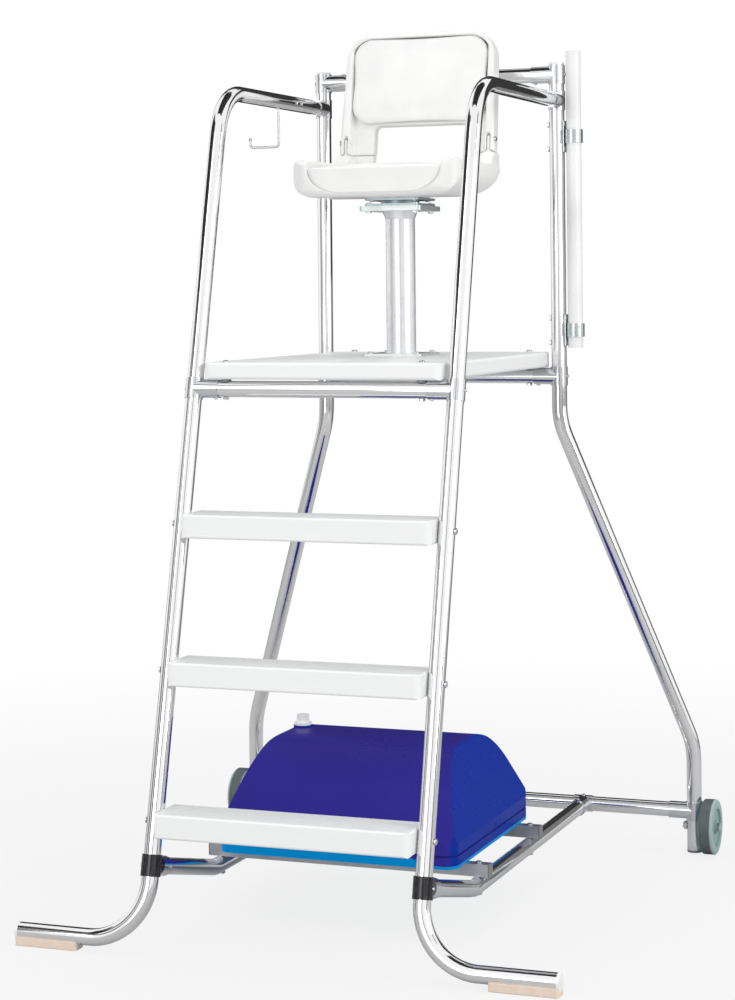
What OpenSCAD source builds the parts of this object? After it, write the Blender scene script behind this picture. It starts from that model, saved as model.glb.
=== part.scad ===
// Movable lifeguard chair: a leaning ladder of bent tube with armrests, a raised deck with a
// swivel seat on a column, splayed rear legs on wheels and a water ballast tank low in the frame.
// X runs across the chair, +Y to the back, +Z up, in millimetres.

/* [Frame tubing] */
// Outside diameter of the frame tube
tube_od = 38.1; // [37:0.1:38.6]
// Distance between the centre lines of the two handrails
rail_span = 640; // [600:1:680]
// Height of the two bars under the deck
bar_z = 1239.5; // [1215:0.5:1265]
// Distance from the front deck bar back to the rear posts
frame_depth = 835; // [815:1:860]
// Lean of the ladder from the vertical, in degrees
lean = 13.62; // [12.6:0.01:14.4]
// Height of the armrests
arm_z = 1943; // [1920:1:1960]
// Bend radius where a handrail turns into its armrest
arm_bend_r = 135; // [110:1:160]
// Height of the rail behind the seat
back_rail_z = 2010; // [2000:1:2025]

/* [Rear legs] */
// How far each rear leg is splayed outward at the floor
leg_splay = 295.8; // [270:0.1:320]
// How far each rear leg runs back below the deck
leg_sweep = 192.6; // [170:0.1:215]
// Height of the upper bend of a rear leg
knee_z = 1123.7; // [1080:0.1:1160]
// Height of the lower bend of a rear leg
ankle_z = 280; // [260:1:320]
// Bend radius of the rear legs
leg_bend_r = 200; // [150:1:240]
// Gap between the leg tips and the floor, which lets the wheels roll
tip_lift = 3; // [2:0.5:6]

/* [Front feet] */
// Height of the foot tubes above the floor
foot_z = 30; // [27:0.5:36]
// Bend radius of the foot tubes
foot_bend_r = 134; // [115:1:145]
// Reach of each foot tube from the middle of the chair
foot_reach = 628; // [600:1:640]
// Length of the pad under each foot
pad_len = 154; // [120:1:165]
// Thickness of the end caps
cap_t = 6; // [4:0.5:9]

/* [Fittings] */
// Wall of the tube fittings
fitting_wall = 2.2; // [1.8:0.1:3.2]
// Length of a fitting's sleeve
sleeve_len = 48; // [44:1:56]
// Reach of a fitting's branch from the sleeve's axis
branch_reach = 65; // [58:1:70]
// Wall of the dark collars at the foot of the ladder
collar_wall = 3.4; // [2.6:0.1:4.5]
// Height of the collars
collar_z = 190.6; // [184:0.2:198]
// Radial clearance between a tube and its fitting
fit_gap = 0.1; // [0.05:0.01:0.2]
// Gap left between a tube's end and the tube it meets
butt_gap = 2; // [1:0.5:3]

/* [Ladder steps and deck] */
// Height of the top step's upper face
step_top_z = 959.7; // [940:0.1:975]
// Vertical distance from one step to the next
step_pitch = 323.6; // [310:0.1:330]
// Thickness of a step
step_t = 54; // [44:1:60]
// Depth of a step from front to back
step_depth = 116; // [100:1:128]
// Gap between a step's end and the handrail
step_gap = 0.2; // [0.1:0.05:0.5]
// Gap between the deck's side and the handrail beside it
deck_gap = 8.95; // [6:0.05:20]
// Thickness of the deck
deck_t = 39; // [32:1:44]
// Thickness of the spacers that carry the deck on its bars
spacer_t = 3.5; // [3:0.5:6]
// Distance of a deck bolt in from the centre line of the handrail beside it
deck_bolt_inset = 80; // [75:1:100]

/* [Seat column and swivel] */
// Distance from the front deck bar back to the column
column_y = 534; // [526:1:542]
// Outside diameter of the column
column_od = 73; // [64:0.5:80]
// Side of the column's square foot flange
flange_w = 152.4; // [146:0.2:160]
// Thickness of the foot flange
flange_t = 6; // [5:0.5:8]
// Side of the column's square top plate
head_plate_w = 160; // [152:1:168]
// Thickness of the column's top plate
head_plate_t = 12; // [9:0.5:14]
// Height of the seat's underside
seat_z = 1691; // [1680:1:1700]
// Bolt circle of the flange and the plates, as half the bolt spacing
plate_bolt = 60; // [56:0.5:62]
// Side of the square swivel plates
swivel_w = 140; // [136:1:146]
// Thickness of a swivel plate
swivel_t = 6; // [5:0.5:7]
// Air between the swivel plates
swivel_gap = 8; // [7:0.5:9]

/* [Seat] */
// Width of the seat shell
seat_w = 436; // [424:1:440]
// Distance from the column's axis to the front edge of the seat
seat_front = 197; // [185:1:205]
// Height of the side bolsters above the seat's underside, at the front
bolster_h = 92; // [84:1:98]
// Height of the seam between the seat and its back above the underside
seam_h = 117; // [112:1:122]
// Radius of the curve that turns the seat's underside up into the back
scoop_r = 228; // [220:1:234]
// Thickness of the seat shell
shell_t = 12; // [10:1:14]
// Width of the back at the seam
back_w = 416; // [408:1:420]
// Width of the back at its top
back_top_w = 390; // [380:1:400]
// Height of the back above the seam
back_h = 319; // [305:1:330]
// Depth of the back from front to rear
back_d = 62; // [58:1:66]
// Depth of the hollow in the back's front face, which holds its cushion
hollow_d = 30; // [26:1:32]
// Recline of the back, in degrees
recline = 9; // [7:0.5:10]
// Width of the opening below the back cushion
window_w = 248; // [220:1:252]
// Height of the opening's top edge above the seam
window_h = 83; // [70:1:84]
// Width of both cushions
cushion_w = 344; // [330:1:350]
// Crown of the seat cushion
seat_crown = 10; // [4:1:14]
// Thickness of the back cushion at its edge
back_pad_t = 26; // [22:1:30]
// Crown of the back cushion
back_crown = 8; // [4:1:12]
// Diameter of the hinge pins of the folding back
pin_d = 8; // [6:0.5:9]

/* [Umbrella holder and hook] */
// Distance from the right rear post out to the umbrella tube's centre line
umbrella_out = 44; // [43.5:0.5:48]
// Height of the umbrella tube's lower end
umbrella_z = 1312; // [1290:1:1320]
// Length of the umbrella tube
umbrella_len = 756; // [740:1:770]
// Wall of the umbrella tube
umbrella_wall = 2.5; // [1.6:0.1:3.5]
// Height of the lower umbrella bracket
bracket_low_z = 1357; // [1350:1:1370]
// Distance between the two umbrella brackets
bracket_rise = 494; // [470:1:500]
// Diameter of the hook's rod
hook_d = 6; // [5:0.5:8]
// Drop of the hook below the armrest
hook_drop = 96; // [80:1:110]
// Reach of the hook
hook_reach = 78; // [60:1:90]

/* [Ballast frame and tank] */
// Height of the side tubes and the rear cross tube
base_z = 108.5; // [106:0.5:114]
// Bend radius of the side tubes
base_bend_r = 90; // [60:1:120]
// Distance from the front deck bar back to the middle of the tank
tank_y = 332.5; // [320:0.5:345]
// Distance of the front tank rail in from the tank's front end
rail_front_inset = 88.5; // [75:0.5:110]
// Distance of the rear tank rail in from the tank's rear end
rail_rear_inset = 87.5; // [75:0.5:110]
// Height of a tank rail's section
rail_h = 28.5; // [24:0.5:32]
// Depth of a tank rail's section
rail_d = 27; // [22:0.5:32]
// How far a tank rail reaches past the centre line of a side tube
rail_overhang = 25; // [22:0.5:35]
// Gap between the tank's side and the centre line of the side tube beside it
tank_gap = 28; // [24:0.5:40]
// Depth of the tank at its base
tank_d = 580; // [560:1:590]
// Height of the tank
tank_h = 242; // [220:1:260]
// Height of the tank's upright band
tank_band = 56; // [48:1:62]
// Distance of the filler neck in from the tank's left side
cap_inset = 87; // [75:1:120]
// Distance of the filler neck behind the tank's middle
cap_back = 32.5; // [10:0.5:60]

/* [Wheels] */
// Radius of the wheels
wheel_r = 70; // [64:1:76]
// Width of the wheels
wheel_w = 35; // [30:1:40]
// Diameter of the wheel axles
axle_d = 12; // [10:0.5:14]

/* [Hidden] */
$fn = 48;

// Directions
X = [1, 0, 0];
Y = [0, 1, 0];
Z = [0, 0, 1];

// Frame lines
tube_r = tube_od / 2;
half = rail_span / 2;
down_ladder = [0, -sin(lean), -cos(lean)];
off_ladder = [0, cos(lean), -sin(lean)];
foot_y = ladder_y(foot_z);
post_y = frame_depth;
foot_x = half + leg_splay;
wheel_y = post_y + leg_sweep;
wheel_gap = 5.2;
wheel_x = foot_x + tube_r + wheel_gap + wheel_w / 2;
mid_y = (foot_y - tube_r + wheel_y + wheel_r) / 2;
fitting_r = tube_r + fit_gap + fitting_wall;
collar_r = tube_r + fit_gap + collar_wall;
butt = tube_r + butt_gap;
post_top_z = back_rail_z + sleeve_len / 2 + 1;

// A bend is this many times as thick as the straight bar, which laps into it by this share of the
// bend radius, so that the two join cleanly
bend_fullness = 1.006;
lap_share = 1 / 80;

// Where outlines are crossed, one stands this far outside the other, so that no two faces coincide
proud = 1;

// Plugs, screws and bolts
plug_r = tube_r - 2;
plug_len = 20;
plug_gap = 0.1;
screw_r = 2.5;
screw_head_r = 4.3;
screw_head_t = 3.4;
bolt_r = 4;
bolt_head_r = 7.5;
bolt_head_t = 5;
bolt_tail = 1.5;
low_head_t = 3;
hole_gap = 0.1;

// Steps and deck
step_len = rail_span - tube_od - 2 * step_gap;
step_bolt_len = 45;
spacer_r = 12.5;
deck_w = rail_span - tube_od - 2 * deck_gap;
deck_bolt_span = rail_span - 2 * deck_bolt_inset;
deck_z = bar_z + tube_r + spacer_t;
deck_top = deck_z + deck_t;
deck_front = -tube_r;
deck_back = post_y + tube_r;

// Column, swivel and seat
head_z = seat_z - 2 * swivel_t - swivel_gap - head_plate_t;
swivel_z = head_z + head_plate_t;
stud_r = 10;
run_gap = 0.06;
race_r = 48;
race_gap = 0.3;
front_y = column_y - seat_front;
scoop_y = column_y - 20;
floor_z = seat_z + shell_t;
seam_z = seat_z + seam_h;
seam_back_y = scoop_y + sqrt(pow(scoop_r, 2) - pow(scoop_r - seam_h, 2));
back_y = seam_back_y - back_d;
seam_gap = 0.5;
soft_gap = 0.4;
pin_r = pin_d / 2;
pin_y = back_y + 17;
pin_z = seam_z + 32;
ear_x = back_w / 2 - 17;
ear_w = 9;
ear_r = 11;
ear_gap = 0.5;
pin_len = 25;
pin_seat_x = back_w / 2 - 1;
dish_flat = cushion_w / 2 - 74;
dish_rise = 58;
dish_angles = [0, 15, 30, 45, 60, 75, 90];
well_y = back_y + hollow_d - 3;
swing_r = 284;
seat_corner_r = 42;
rear_corner_r = 60;
lobe_r = 30;
keel_r = 62;
lip_r = 26;
riser_d = 30;
seat_bolt = 54;
seat_bolt_len = swivel_t + shell_t - 3;
rear_window_z = floor_z + 64;
cushion_low = window_h + 6;
cushion_high = back_h - 22;
rim_w = 12;
pocket_d = 4;
pad_corner_r = 46;
corner_steps = 7;
crown_steps = [0.8, 0.6, 0.4, 0.2];

// Umbrella bracket and hook
umbrella_x = half + umbrella_out;
umbrella_r = tube_r;
umbrella_foot = 4;
bracket_r = umbrella_r + 4;
bracket_t = 2.5;
bracket_w = 28;
bracket_h = 34;
bracket_bolt = 31;
strap_h = 2 * bracket_bolt + 18;
strap_head_t = umbrella_out - umbrella_r - tube_r - bracket_t - 0.8;
hook_y = 522;
hook_seat = 12;
hook_bend_r = 8;
hook_tip = 20;
arm_screw_ys = [600, 632];

// Tank
rail_z = base_z + tube_r;
rail_len = rail_span + 2 * rail_overhang;
tank_w = rail_span - 2 * tank_gap;
tank_z = rail_z + rail_h;
rail_front_y = tank_y - tank_d / 2 + rail_front_inset;
rail_pitch = tank_d - rail_front_inset - rail_rear_inset;
tank_top = tank_z + tank_h;
cap_x = cap_inset - tank_w / 2;
cap_y = tank_y + cap_back;
neck_r = 23;
neck_h = 4;
plug_bore_r = 10.2;
side_slope = 0.328;
side_shoulder_r = 26;
end_slope = 0.73;
end_shoulder_r = 220;
tank_corner_r = 30;
groove_h = 4;

// Wheels
hub_r = wheel_r - 17;
hub_dish = 5;
hub_boss_r = 17;
hub_rim_w = 6;
tyre_gap = 0.05;

function unit(v) = v / norm(v);
// Y of the ladder's centre line at a height
function ladder_y(z) = -(bar_z - z) * tan(lean);
// A point on the centre line of the ladder's left (-1) or right (+1) side
function ladder_at(s, z) = [s * half, ladder_y(z), z];
// Rotation that turns the X, Y and Z axes onto the unit vectors u, v and n
function turn_onto(u, v, n) = abs(u.z) > 0.999999
    ? (u.z > 0 ? [atan2(-v.x, v.y), -90, 0] : [atan2(v.x, v.y), 90, 0])
    : [atan2(v.z, n.z), -asin(u.z), atan2(u.y, u.x)];

// Puts its children at a point, with their Y axis ahead and their Z axis up
module place(at, ahead, up) {
    translate(at) rotate(turn_onto(cross(ahead, up), ahead, up)) children();
}

// Puts a flat tube run at its start, heading ahead, so that its left bends turn to the side given
module lay(start, ahead, side) {
    place(start, ahead, cross(-side, ahead)) children();
}

// Puts a screw or bolt on a surface, pointing out of it
module fasten(at, out) {
    place(at, abs(out.x) > 0.5 ? [0, 0, 1] : [1, 0, 0], out) children();
}

module on_both_sides() {
    for (s = [-1, 1]) mirror([s < 0 ? 1 : 0, 0, 0]) children();
}

// Moves the chair so that its origin is on the floor below the middle of its footprint
module at_origin() {
    translate([0, -mid_y, 0]) children();
}

// One bend of round bar: it starts at the origin along +Y and turns towards -X
module elbow(bend_r, angle, r) {
    translate([-bend_r, 0, 0]) rotate_extrude(angle = angle)
        translate([bend_r, 0]) circle(r = r * bend_fullness);
}

// Round bar in one plane: each entry of run is a straight length and the bend after it,
// positive towards -X, and the last entry's bend is 0
module tube_run(run, bend_r, r, i = 0) {
    last = len(run) - 1;
    turn = abs(run[i][1]);
    flip = run[i][1] < 0 ? 180 : 0;
    before = i > 0 ? bend_r * lap_share : 0;
    after = i < last ? bend_r * lap_share : 0;
    translate([0, -before, 0]) rotate([-90, 0, 0]) cylinder(h = run[i][0] + before + after, r = r);
    if (i < last) translate([0, run[i][0], 0]) rotate([0, flip, 0]) {
        elbow(bend_r, turn, r);
        translate([-bend_r, 0, 0]) rotate([0, 0, turn]) translate([bend_r, 0, 0])
            rotate([0, flip, 0]) tube_run(run, bend_r, r, i + 1);
    }
}

// Screw with a low round head: its shank runs down from the origin
module screw(shank_r, shank_len, head_r, head_t) {
    translate([0, 0, -shank_len]) cylinder(h = shank_len + head_t / 2, r = shank_r);
    cylinder(h = head_t * 0.6, r = head_r);
    translate([0, 0, head_t * 0.6]) cylinder(h = head_t * 0.4, r1 = head_r, r2 = head_r * 0.6);
}

// Through bolt: the head stands on the origin and the nut lies against the grip's far side
module through_bolt(grip, head_t = bolt_head_t) {
    screw(bolt_r, grip + bolt_head_t + bolt_tail, bolt_head_r, head_t);
    translate([0, 0, -grip - bolt_head_t]) cylinder(h = bolt_head_t, r = bolt_head_r, $fn = 6);
}

// Rectangle with rounded corners, given by its limits
module round_rect(x0, x1, y0, y1, r) {
    translate([x0 + r, y0]) square([x1 - x0 - 2 * r, y1 - y0]);
    translate([x0, y0 + r]) square([x1 - x0, y1 - y0 - 2 * r]);
    for (x = [x0 + r, x1 - r], y = [y0 + r, y1 - r]) translate([x, y]) circle(r = r);
}

// Extrudes a shape drawn in X and Z along Y, from y0 to y1
module along_y(y0, y1) {
    translate([0, y1, 0]) rotate([90, 0, 0]) linear_extrude(height = y1 - y0) children();
}

// Extrudes a shape drawn in Y and Z along X, from x0 to x1
module along_x(x0, x1) {
    translate([x0, 0, 0]) rotate([90, 0, 90]) linear_extrude(height = x1 - x0) children();
}

// Block with rounded upright corners and softened top and bottom edges
module soft_block(x0, x1, y0, y1, z0, z1, corner_r, edge_r) {
    intersection() {
        translate([0, 0, z0]) linear_extrude(height = z1 - z0) round_rect(x0, x1, y0, y1, corner_r);
        along_y(y0 - 1, y1 + 1) round_rect(x0, x1, z0, z1, edge_r);
        along_x(x0 - 1, x1 + 1) round_rect(y0, y1, z0, z1, edge_r);
    }
}

// Plug in the end of a tube: a disc of the tube's size outside and a spigot inside
module end_plug(t) {
    cylinder(h = t, r = tube_r);
    translate([0, 0, -plug_len]) cylinder(h = plug_len + t / 2, r = plug_r);
}

// The bore that takes an end plug
module plug_bore() {
    translate([0, 0, -plug_len - 2]) cylinder(h = plug_len + 3, r = plug_r + plug_gap);
}

// Tube fitting: a sleeve along Z with one branch along Y. t is [place, ahead, up, sleeve screw
// turn, branch screw turn], where the turns are degrees about the sleeve and about the branch
module tee(t, outer_r = fitting_r) {
    bore_r = tube_r + fit_gap;
    place(t[0], t[1], t[2]) difference() {
        union() {
            cylinder(h = sleeve_len, r = outer_r, center = true);
            rotate([-90, 0, 0]) cylinder(h = branch_reach, r = outer_r);
        }
        cylinder(h = sleeve_len + 2, r = bore_r, center = true);
        translate([0, butt - butt_gap / 2, 0]) rotate([-90, 0, 0]) cylinder(h = branch_reach, r = bore_r);
        tee_screw_places(t, 0) translate([0, 0, -outer_r + bore_r - 1])
            cylinder(h = outer_r, r = screw_r + hole_gap);
    }
}

// Where a fitting's two screws sit on its surface
module tee_screw_places(t, outer_r) {
    r = outer_r > 0 ? outer_r : fitting_r;
    rotate([0, 0, t[3]]) translate([0, -r, 0]) rotate([90, 0, 0]) children();
    translate([0, branch_reach - 9, 0]) rotate([0, t[4], 0]) translate([0, 0, r]) children();
}

module tee_screws(t, outer_r = fitting_r) {
    place(t[0], t[1], t[2]) tee_screw_places(t, outer_r)
        screw(screw_r, outer_r - tube_r - hole_gap, screw_head_r, screw_head_t);
}

arm_tee_list = [for (s = [-1, 1]) [[s * half, post_y, arm_z], -Y, Z, 90, 90]];
back_rail_tee_list = [for (s = [-1, 1]) [[s * half, post_y, back_rail_z], -s * X, Z, 0, 90 + s * 90]];
front_bar_tee_list = [for (s = [-1, 1]) [ladder_at(s, bar_z), -s * X, -down_ladder, 0, 180]];
rear_bar_tee_list = [for (s = [-1, 1]) [[s * half, post_y, bar_z], -s * X, Z, 0, 180]];
leg_tee_list = [for (s = [-1, 1]) [[s * foot_x, wheel_y, base_z], -s * X, Z, 0, s * 90]];
side_tee_list = [for (s = [-1, 1]) [[s * half, wheel_y, base_z], -Y, X, 90, 90]];
collar_list = [for (s = [-1, 1]) [ladder_at(s, collar_z), off_ladder, -down_ladder, s * 90, -s * 90]];

// Handrail: one tube from the rear post along the armrest and down the ladder to the collar
module handrail(s) {
    turn = 90 - lean;
    trim = arm_bend_r * tan(turn / 2);
    arm_run = post_y - butt - ladder_y(arm_z) - trim;
    slope_run = (arm_z - collar_z) / cos(lean) - trim - butt_gap / 2;
    color("silver") difference() {
        lay([s * half, post_y - butt, arm_z], -Y, -Z)
            tube_run([[arm_run, turn], [slope_run, 0]], arm_bend_r, tube_r);
        for (i = [0:2]) translate(ladder_at(s, step_mid_z(i))) rotate([0, 90, 0])
            cylinder(h = tube_od + 2, r = bolt_r + hole_gap, center = true);
    }
}

module handrail_left() {
    at_origin() color("silver") difference() {
        handrail(-1);
        translate([-half, hook_y, arm_z - tube_r - 1])
            cylinder(h = hook_seat + 1, r = hook_d / 2 + hole_gap);
        for (y = arm_screw_ys) translate([-half, y, arm_z]) rotate([0, 90, 0])
            cylinder(h = tube_r + 1, r = screw_r + hole_gap);
    }
}

module handrail_right() {
    at_origin() handrail(1);
}

// Foot tube: it leaves the collar down the ladder's line and bends outward along the floor
module foot_tube(s) {
    drop = (collar_z - foot_z) / cos(lean) - foot_bend_r - butt_gap / 2;
    along = foot_reach - half - foot_bend_r;
    color("silver") difference() {
        lay(ladder_at(s, collar_z) + down_ladder * butt_gap / 2, down_ladder, s * X)
            tube_run([[drop, 90], [along, 0]], foot_bend_r, tube_r);
        fasten([s * foot_reach, foot_y, foot_z], s * X) plug_bore();
    }
}

module foot_tube_left() {
    at_origin() foot_tube(-1);
}

module foot_tube_right() {
    at_origin() foot_tube(1);
}

module foot_caps() {
    at_origin() color("white") for (s = [-1, 1]) fasten([s * foot_reach, foot_y, foot_z], s * X)
        end_plug(cap_t);
}

// Foot pad: a block with a saddle that holds the foot tube
module foot_pads() {
    pad_end = foot_reach + cap_t;
    pad_top = foot_z - tube_r / 2;
    at_origin() color("tan") on_both_sides() difference() {
        soft_block(pad_end - pad_len, pad_end, foot_y - tube_r, foot_y + tube_r, 0, pad_top, 6, 2);
        translate([pad_end - pad_len - 1, foot_y, foot_z]) rotate([0, 90, 0])
            cylinder(h = pad_len + 2, r = tube_r + fit_gap);
    }
}

module base_collars() {
    at_origin() color([0.12, 0.12, 0.13]) for (t = collar_list) tee(t, collar_r);
}

// Side tube: down from the collar's branch, then level to the rear cross tube
module side_tube(s) {
    drop = (collar_z - base_z) / sin(lean);
    trim = base_bend_r * tan(lean / 2);
    corner_y = ladder_y(collar_z) + drop * cos(lean);
    level = wheel_y - butt - corner_y - trim;
    color("silver") difference() {
        lay(ladder_at(s, collar_z) + off_ladder * butt, off_ladder, -down_ladder)
            tube_run([[drop - butt - trim, lean], [level, 0]], base_bend_r, tube_r);
        for (y = rail_ys()) translate([s * half, y, base_z])
            cylinder(h = tube_od + 2, r = bolt_r + hole_gap, center = true);
    }
}

module side_tube_left() {
    at_origin() side_tube(-1);
}

module side_tube_right() {
    at_origin() side_tube(1);
}

// Rear leg: post, splayed middle and upright end in one bent tube
module rear_leg(s) {
    out = norm([leg_splay, leg_sweep]);
    fall = knee_z - ankle_z;
    turn = atan2(out, fall);
    trim = leg_bend_r * tan(turn / 2);
    run = [
        [post_top_z - knee_z - trim, turn],
        [norm([out, fall]) - 2 * trim, -turn],
        [ankle_z - trim - tip_lift - cap_t, 0]
    ];
    color("silver") difference() {
        lay([s * half, post_y, post_top_z], -Z, [s * leg_splay, leg_sweep, 0] / out)
            tube_run(run, leg_bend_r, tube_r);
        translate([s * half, post_y, post_top_z]) plug_bore();
        translate([s * foot_x, wheel_y, tip_lift + cap_t]) rotate([180, 0, 0]) plug_bore();
        translate([s * foot_x, wheel_y, wheel_r]) rotate([0, 90, 0])
            cylinder(h = tube_od + 2, r = axle_d / 2 + hole_gap, center = true);
    }
}

module rear_leg_left() {
    at_origin() rear_leg(-1);
}

module rear_leg_right() {
    at_origin() color("silver") difference() {
        rear_leg(1);
        for (z = bracket_bolt_zs()) translate([half, post_y, z]) rotate([0, 90, 0])
            cylinder(h = tube_od + 2, r = bolt_r + hole_gap, center = true);
    }
}

module post_caps() {
    at_origin() color("white") for (s = [-1, 1]) translate([s * half, post_y, post_top_z])
        end_plug(cap_t - 1);
}

module leg_tips() {
    at_origin() color("gray") for (s = [-1, 1]) translate([s * foot_x, wheel_y, tip_lift + cap_t])
        rotate([180, 0, 0]) end_plug(cap_t);
}

module arm_tees() {
    at_origin() color("silver") for (t = arm_tee_list) tee(t);
}

module back_rail_tees() {
    at_origin() color("silver") for (t = back_rail_tee_list) tee(t);
}

module front_bar_tees() {
    at_origin() color("silver") for (t = front_bar_tee_list) tee(t);
}

module rear_bar_tees() {
    at_origin() color("silver") for (t = rear_bar_tee_list) tee(t);
}

module leg_tees() {
    at_origin() color("silver") for (t = leg_tee_list) tee(t);
}

module side_tees() {
    at_origin() color("silver") for (t = side_tee_list) tee(t);
}

module fitting_screws() {
    all_tees = concat(
        arm_tee_list, back_rail_tee_list, front_bar_tee_list, rear_bar_tee_list, leg_tee_list, side_tee_list
    );
    at_origin() color("silver") {
        for (t = all_tees) tee_screws(t);
        for (t = collar_list) tee_screws(t, collar_r);
    }
}

// Straight bar between the two sides' tubes
module cross_bar(y, z) {
    translate([butt - half, y, z]) rotate([0, 90, 0]) cylinder(h = rail_span - 2 * butt, r = tube_r);
}

module back_rail() {
    at_origin() color("silver") cross_bar(post_y, back_rail_z);
}

// Deck bar, drilled for the two deck bolts
module deck_bar(y) {
    color("silver") difference() {
        cross_bar(y, bar_z);
        for (x = deck_bolt_xs()) translate([x, y, bar_z])
            cylinder(h = tube_od + 2, r = bolt_r + hole_gap, center = true);
    }
}

module front_bar() {
    at_origin() deck_bar(0);
}

module rear_bar() {
    at_origin() deck_bar(post_y);
}

function deck_bolt_xs() = [-deck_bolt_span / 2, deck_bolt_span / 2];
function bar_ys() = [0, post_y];
function rail_ys() = [rail_front_y, rail_front_y + rail_pitch];
function step_mid_z(i) = step_top_z - i * step_pitch - step_t / 2;
function bracket_zs() = [bracket_low_z, bracket_low_z + bracket_rise];
function bracket_bolt_zs() = [for (z = bracket_zs(), s = [-1, 1]) z + s * bracket_bolt];
function corners(half_w) = [for (x = [-half_w, half_w], y = [-half_w, half_w]) [x, column_y + y]];
function plate_corners() = corners(plate_bolt);
function seat_bolt_places() = corners(seat_bolt);

// Deck: a thick moulded board with softened edges, drilled for its bolts and the column's
module deck() {
    at_origin() color("white") difference() {
        soft_block(-deck_w / 2, deck_w / 2, deck_front, deck_back, deck_z, deck_top, 22, 7);
        for (x = deck_bolt_xs(), y = bar_ys()) translate([x, y, deck_z - 1]) deck_hole();
        for (p = plate_corners()) translate([p.x, p.y, deck_z - 1]) deck_hole();
    }
}

module deck_hole() {
    cylinder(h = deck_t + 2, r = bolt_r + hole_gap);
}

// Spacer between a deck bar and the deck, saddled on the bar
module deck_spacers() {
    at_origin() color("gray") for (x = deck_bolt_xs(), y = bar_ys()) difference() {
        translate([x, y, deck_z - spacer_t - 2]) cylinder(h = spacer_t + 2, r = spacer_r);
        translate([x, y, bar_z]) rotate([0, 90, 0]) cylinder(h = 3 * spacer_r, r = tube_r, center = true);
        translate([x, y, bar_z]) cylinder(h = tube_od, r = bolt_r + hole_gap);
    }
}

module deck_bolts() {
    grip = deck_t + spacer_t + tube_od;
    at_origin() color("silver") for (x = deck_bolt_xs(), y = bar_ys()) translate([x, y, deck_top])
        through_bolt(grip);
}

// Ladder step, level between the leaning handrails
module ladder_step(i) {
    z = step_mid_z(i);
    y = ladder_y(z);
    l = step_len / 2;
    d = step_depth / 2;
    at_origin() color("white") difference() {
        soft_block(-l, l, y - d, y + d, z - step_t / 2, z + step_t / 2, 14, 5);
        on_both_sides() translate([step_len / 2 - step_bolt_len, y, z]) rotate([0, 90, 0])
            cylinder(h = step_bolt_len + 1, r = bolt_r + hole_gap);
    }
}

module step_upper() {
    ladder_step(0);
}

module step_middle() {
    ladder_step(1);
}

module step_lower() {
    ladder_step(2);
}

module step_bolts() {
    at_origin() color("silver") for (i = [0:2], s = [-1, 1])
        fasten([s * (half + tube_r), ladder_y(step_mid_z(i)), step_mid_z(i)], s * X)
            screw(bolt_r, tube_od + step_gap + step_bolt_len - 2, bolt_head_r, bolt_head_t);
}

// Column: a stout tube with a weld flare under its head plate
module column() {
    foot = deck_top + flange_t;
    flare = 20;
    at_origin() color("gainsboro") translate([0, column_y, 0]) {
        translate([0, 0, foot]) cylinder(h = head_z - foot, r = column_od / 2);
        translate([0, 0, head_z - flare]) cylinder(h = flare, r1 = column_od / 2, r2 = column_od / 2 + 7);
    }
}

// Square plate with rounded corners and a bolt hole near each
module bolted_plate(w, z, t, holes_at) {
    difference() {
        translate([0, column_y, z]) linear_extrude(height = t) round_rect(-w / 2, w / 2, -w / 2, w / 2, 8);
        for (p = holes_at) translate([p.x, p.y, z - 1]) cylinder(h = t + 2, r = bolt_r + hole_gap);
    }
}

module column_flange() {
    at_origin() color("gray") bolted_plate(flange_w, deck_top, flange_t, plate_corners());
}

module column_head() {
    at_origin() color("gray") bolted_plate(head_plate_w, head_z, head_plate_t, plate_corners());
}

module flange_bolts() {
    at_origin() color("silver") for (p = plate_corners()) translate([p.x, p.y, deck_top + flange_t])
        through_bolt(deck_t + flange_t);
}

// Fixed swivel plate with its race ring and centre stud
module swivel_base() {
    at_origin() color("dimgray") {
        bolted_plate(swivel_w, swivel_z, swivel_t, plate_corners());
        translate([0, column_y, swivel_z]) cylinder(h = swivel_t + swivel_gap - race_gap, r = race_r);
        translate([0, column_y, swivel_z]) cylinder(h = 2 * swivel_t + swivel_gap - 0.5, r = stud_r);
    }
}

module swivel_bolts() {
    at_origin() color("silver") for (p = plate_corners()) translate([p.x, p.y, swivel_z + swivel_t]) {
        through_bolt(head_plate_t + swivel_t, low_head_t);
    }
}

// Turning swivel plate: its bore runs on the stud
module swivel_top() {
    z = seat_z - swivel_t;
    at_origin() color("dimgray") difference() {
        bolted_plate(swivel_w, z, swivel_t, seat_bolt_places());
        translate([0, column_y, z - 1]) cylinder(h = swivel_t + 2, r = stud_r + run_gap);
    }
}

module seat_bolts() {
    at_origin() color("silver") for (p = seat_bolt_places()) translate([p.x, p.y, seat_z - swivel_t])
        rotate([180, 0, 0]) screw(bolt_r, seat_bolt_len, bolt_head_r - 1, low_head_t);
}

// Half width and height of the dish under the seat cushion at an angle of its side curve
function dish_x(a) = dish_flat + (cushion_w / 2 - dish_flat) * sin(a);
function dish_z(a) = floor_z + dish_rise * (1 - cos(a));

// The hollow that takes the seat cushion: curved up at its sides and at its rear
module seat_dish() {
    right = [for (a = dish_angles) [dish_x(a) + soft_gap, dish_z(a)]];
    brim = [cushion_w / 2 + 8, seam_z + 20];
    left = [for (i = [len(right) - 1:-1:0]) [-right[i].x, right[i].y]];
    intersection() {
        along_y(front_y - 10, well_y) polygon(concat(right, [brim, [-brim.x, brim.y]], left));
        along_x(-seat_w / 2, seat_w / 2) {
            translate([front_y - 20, floor_z]) square([scoop_y - front_y + 20, seam_h]);
            translate([scoop_y, seat_z + scoop_r]) circle(r = scoop_r - shell_t, $fn = 96);
        }
    }
}

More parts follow.
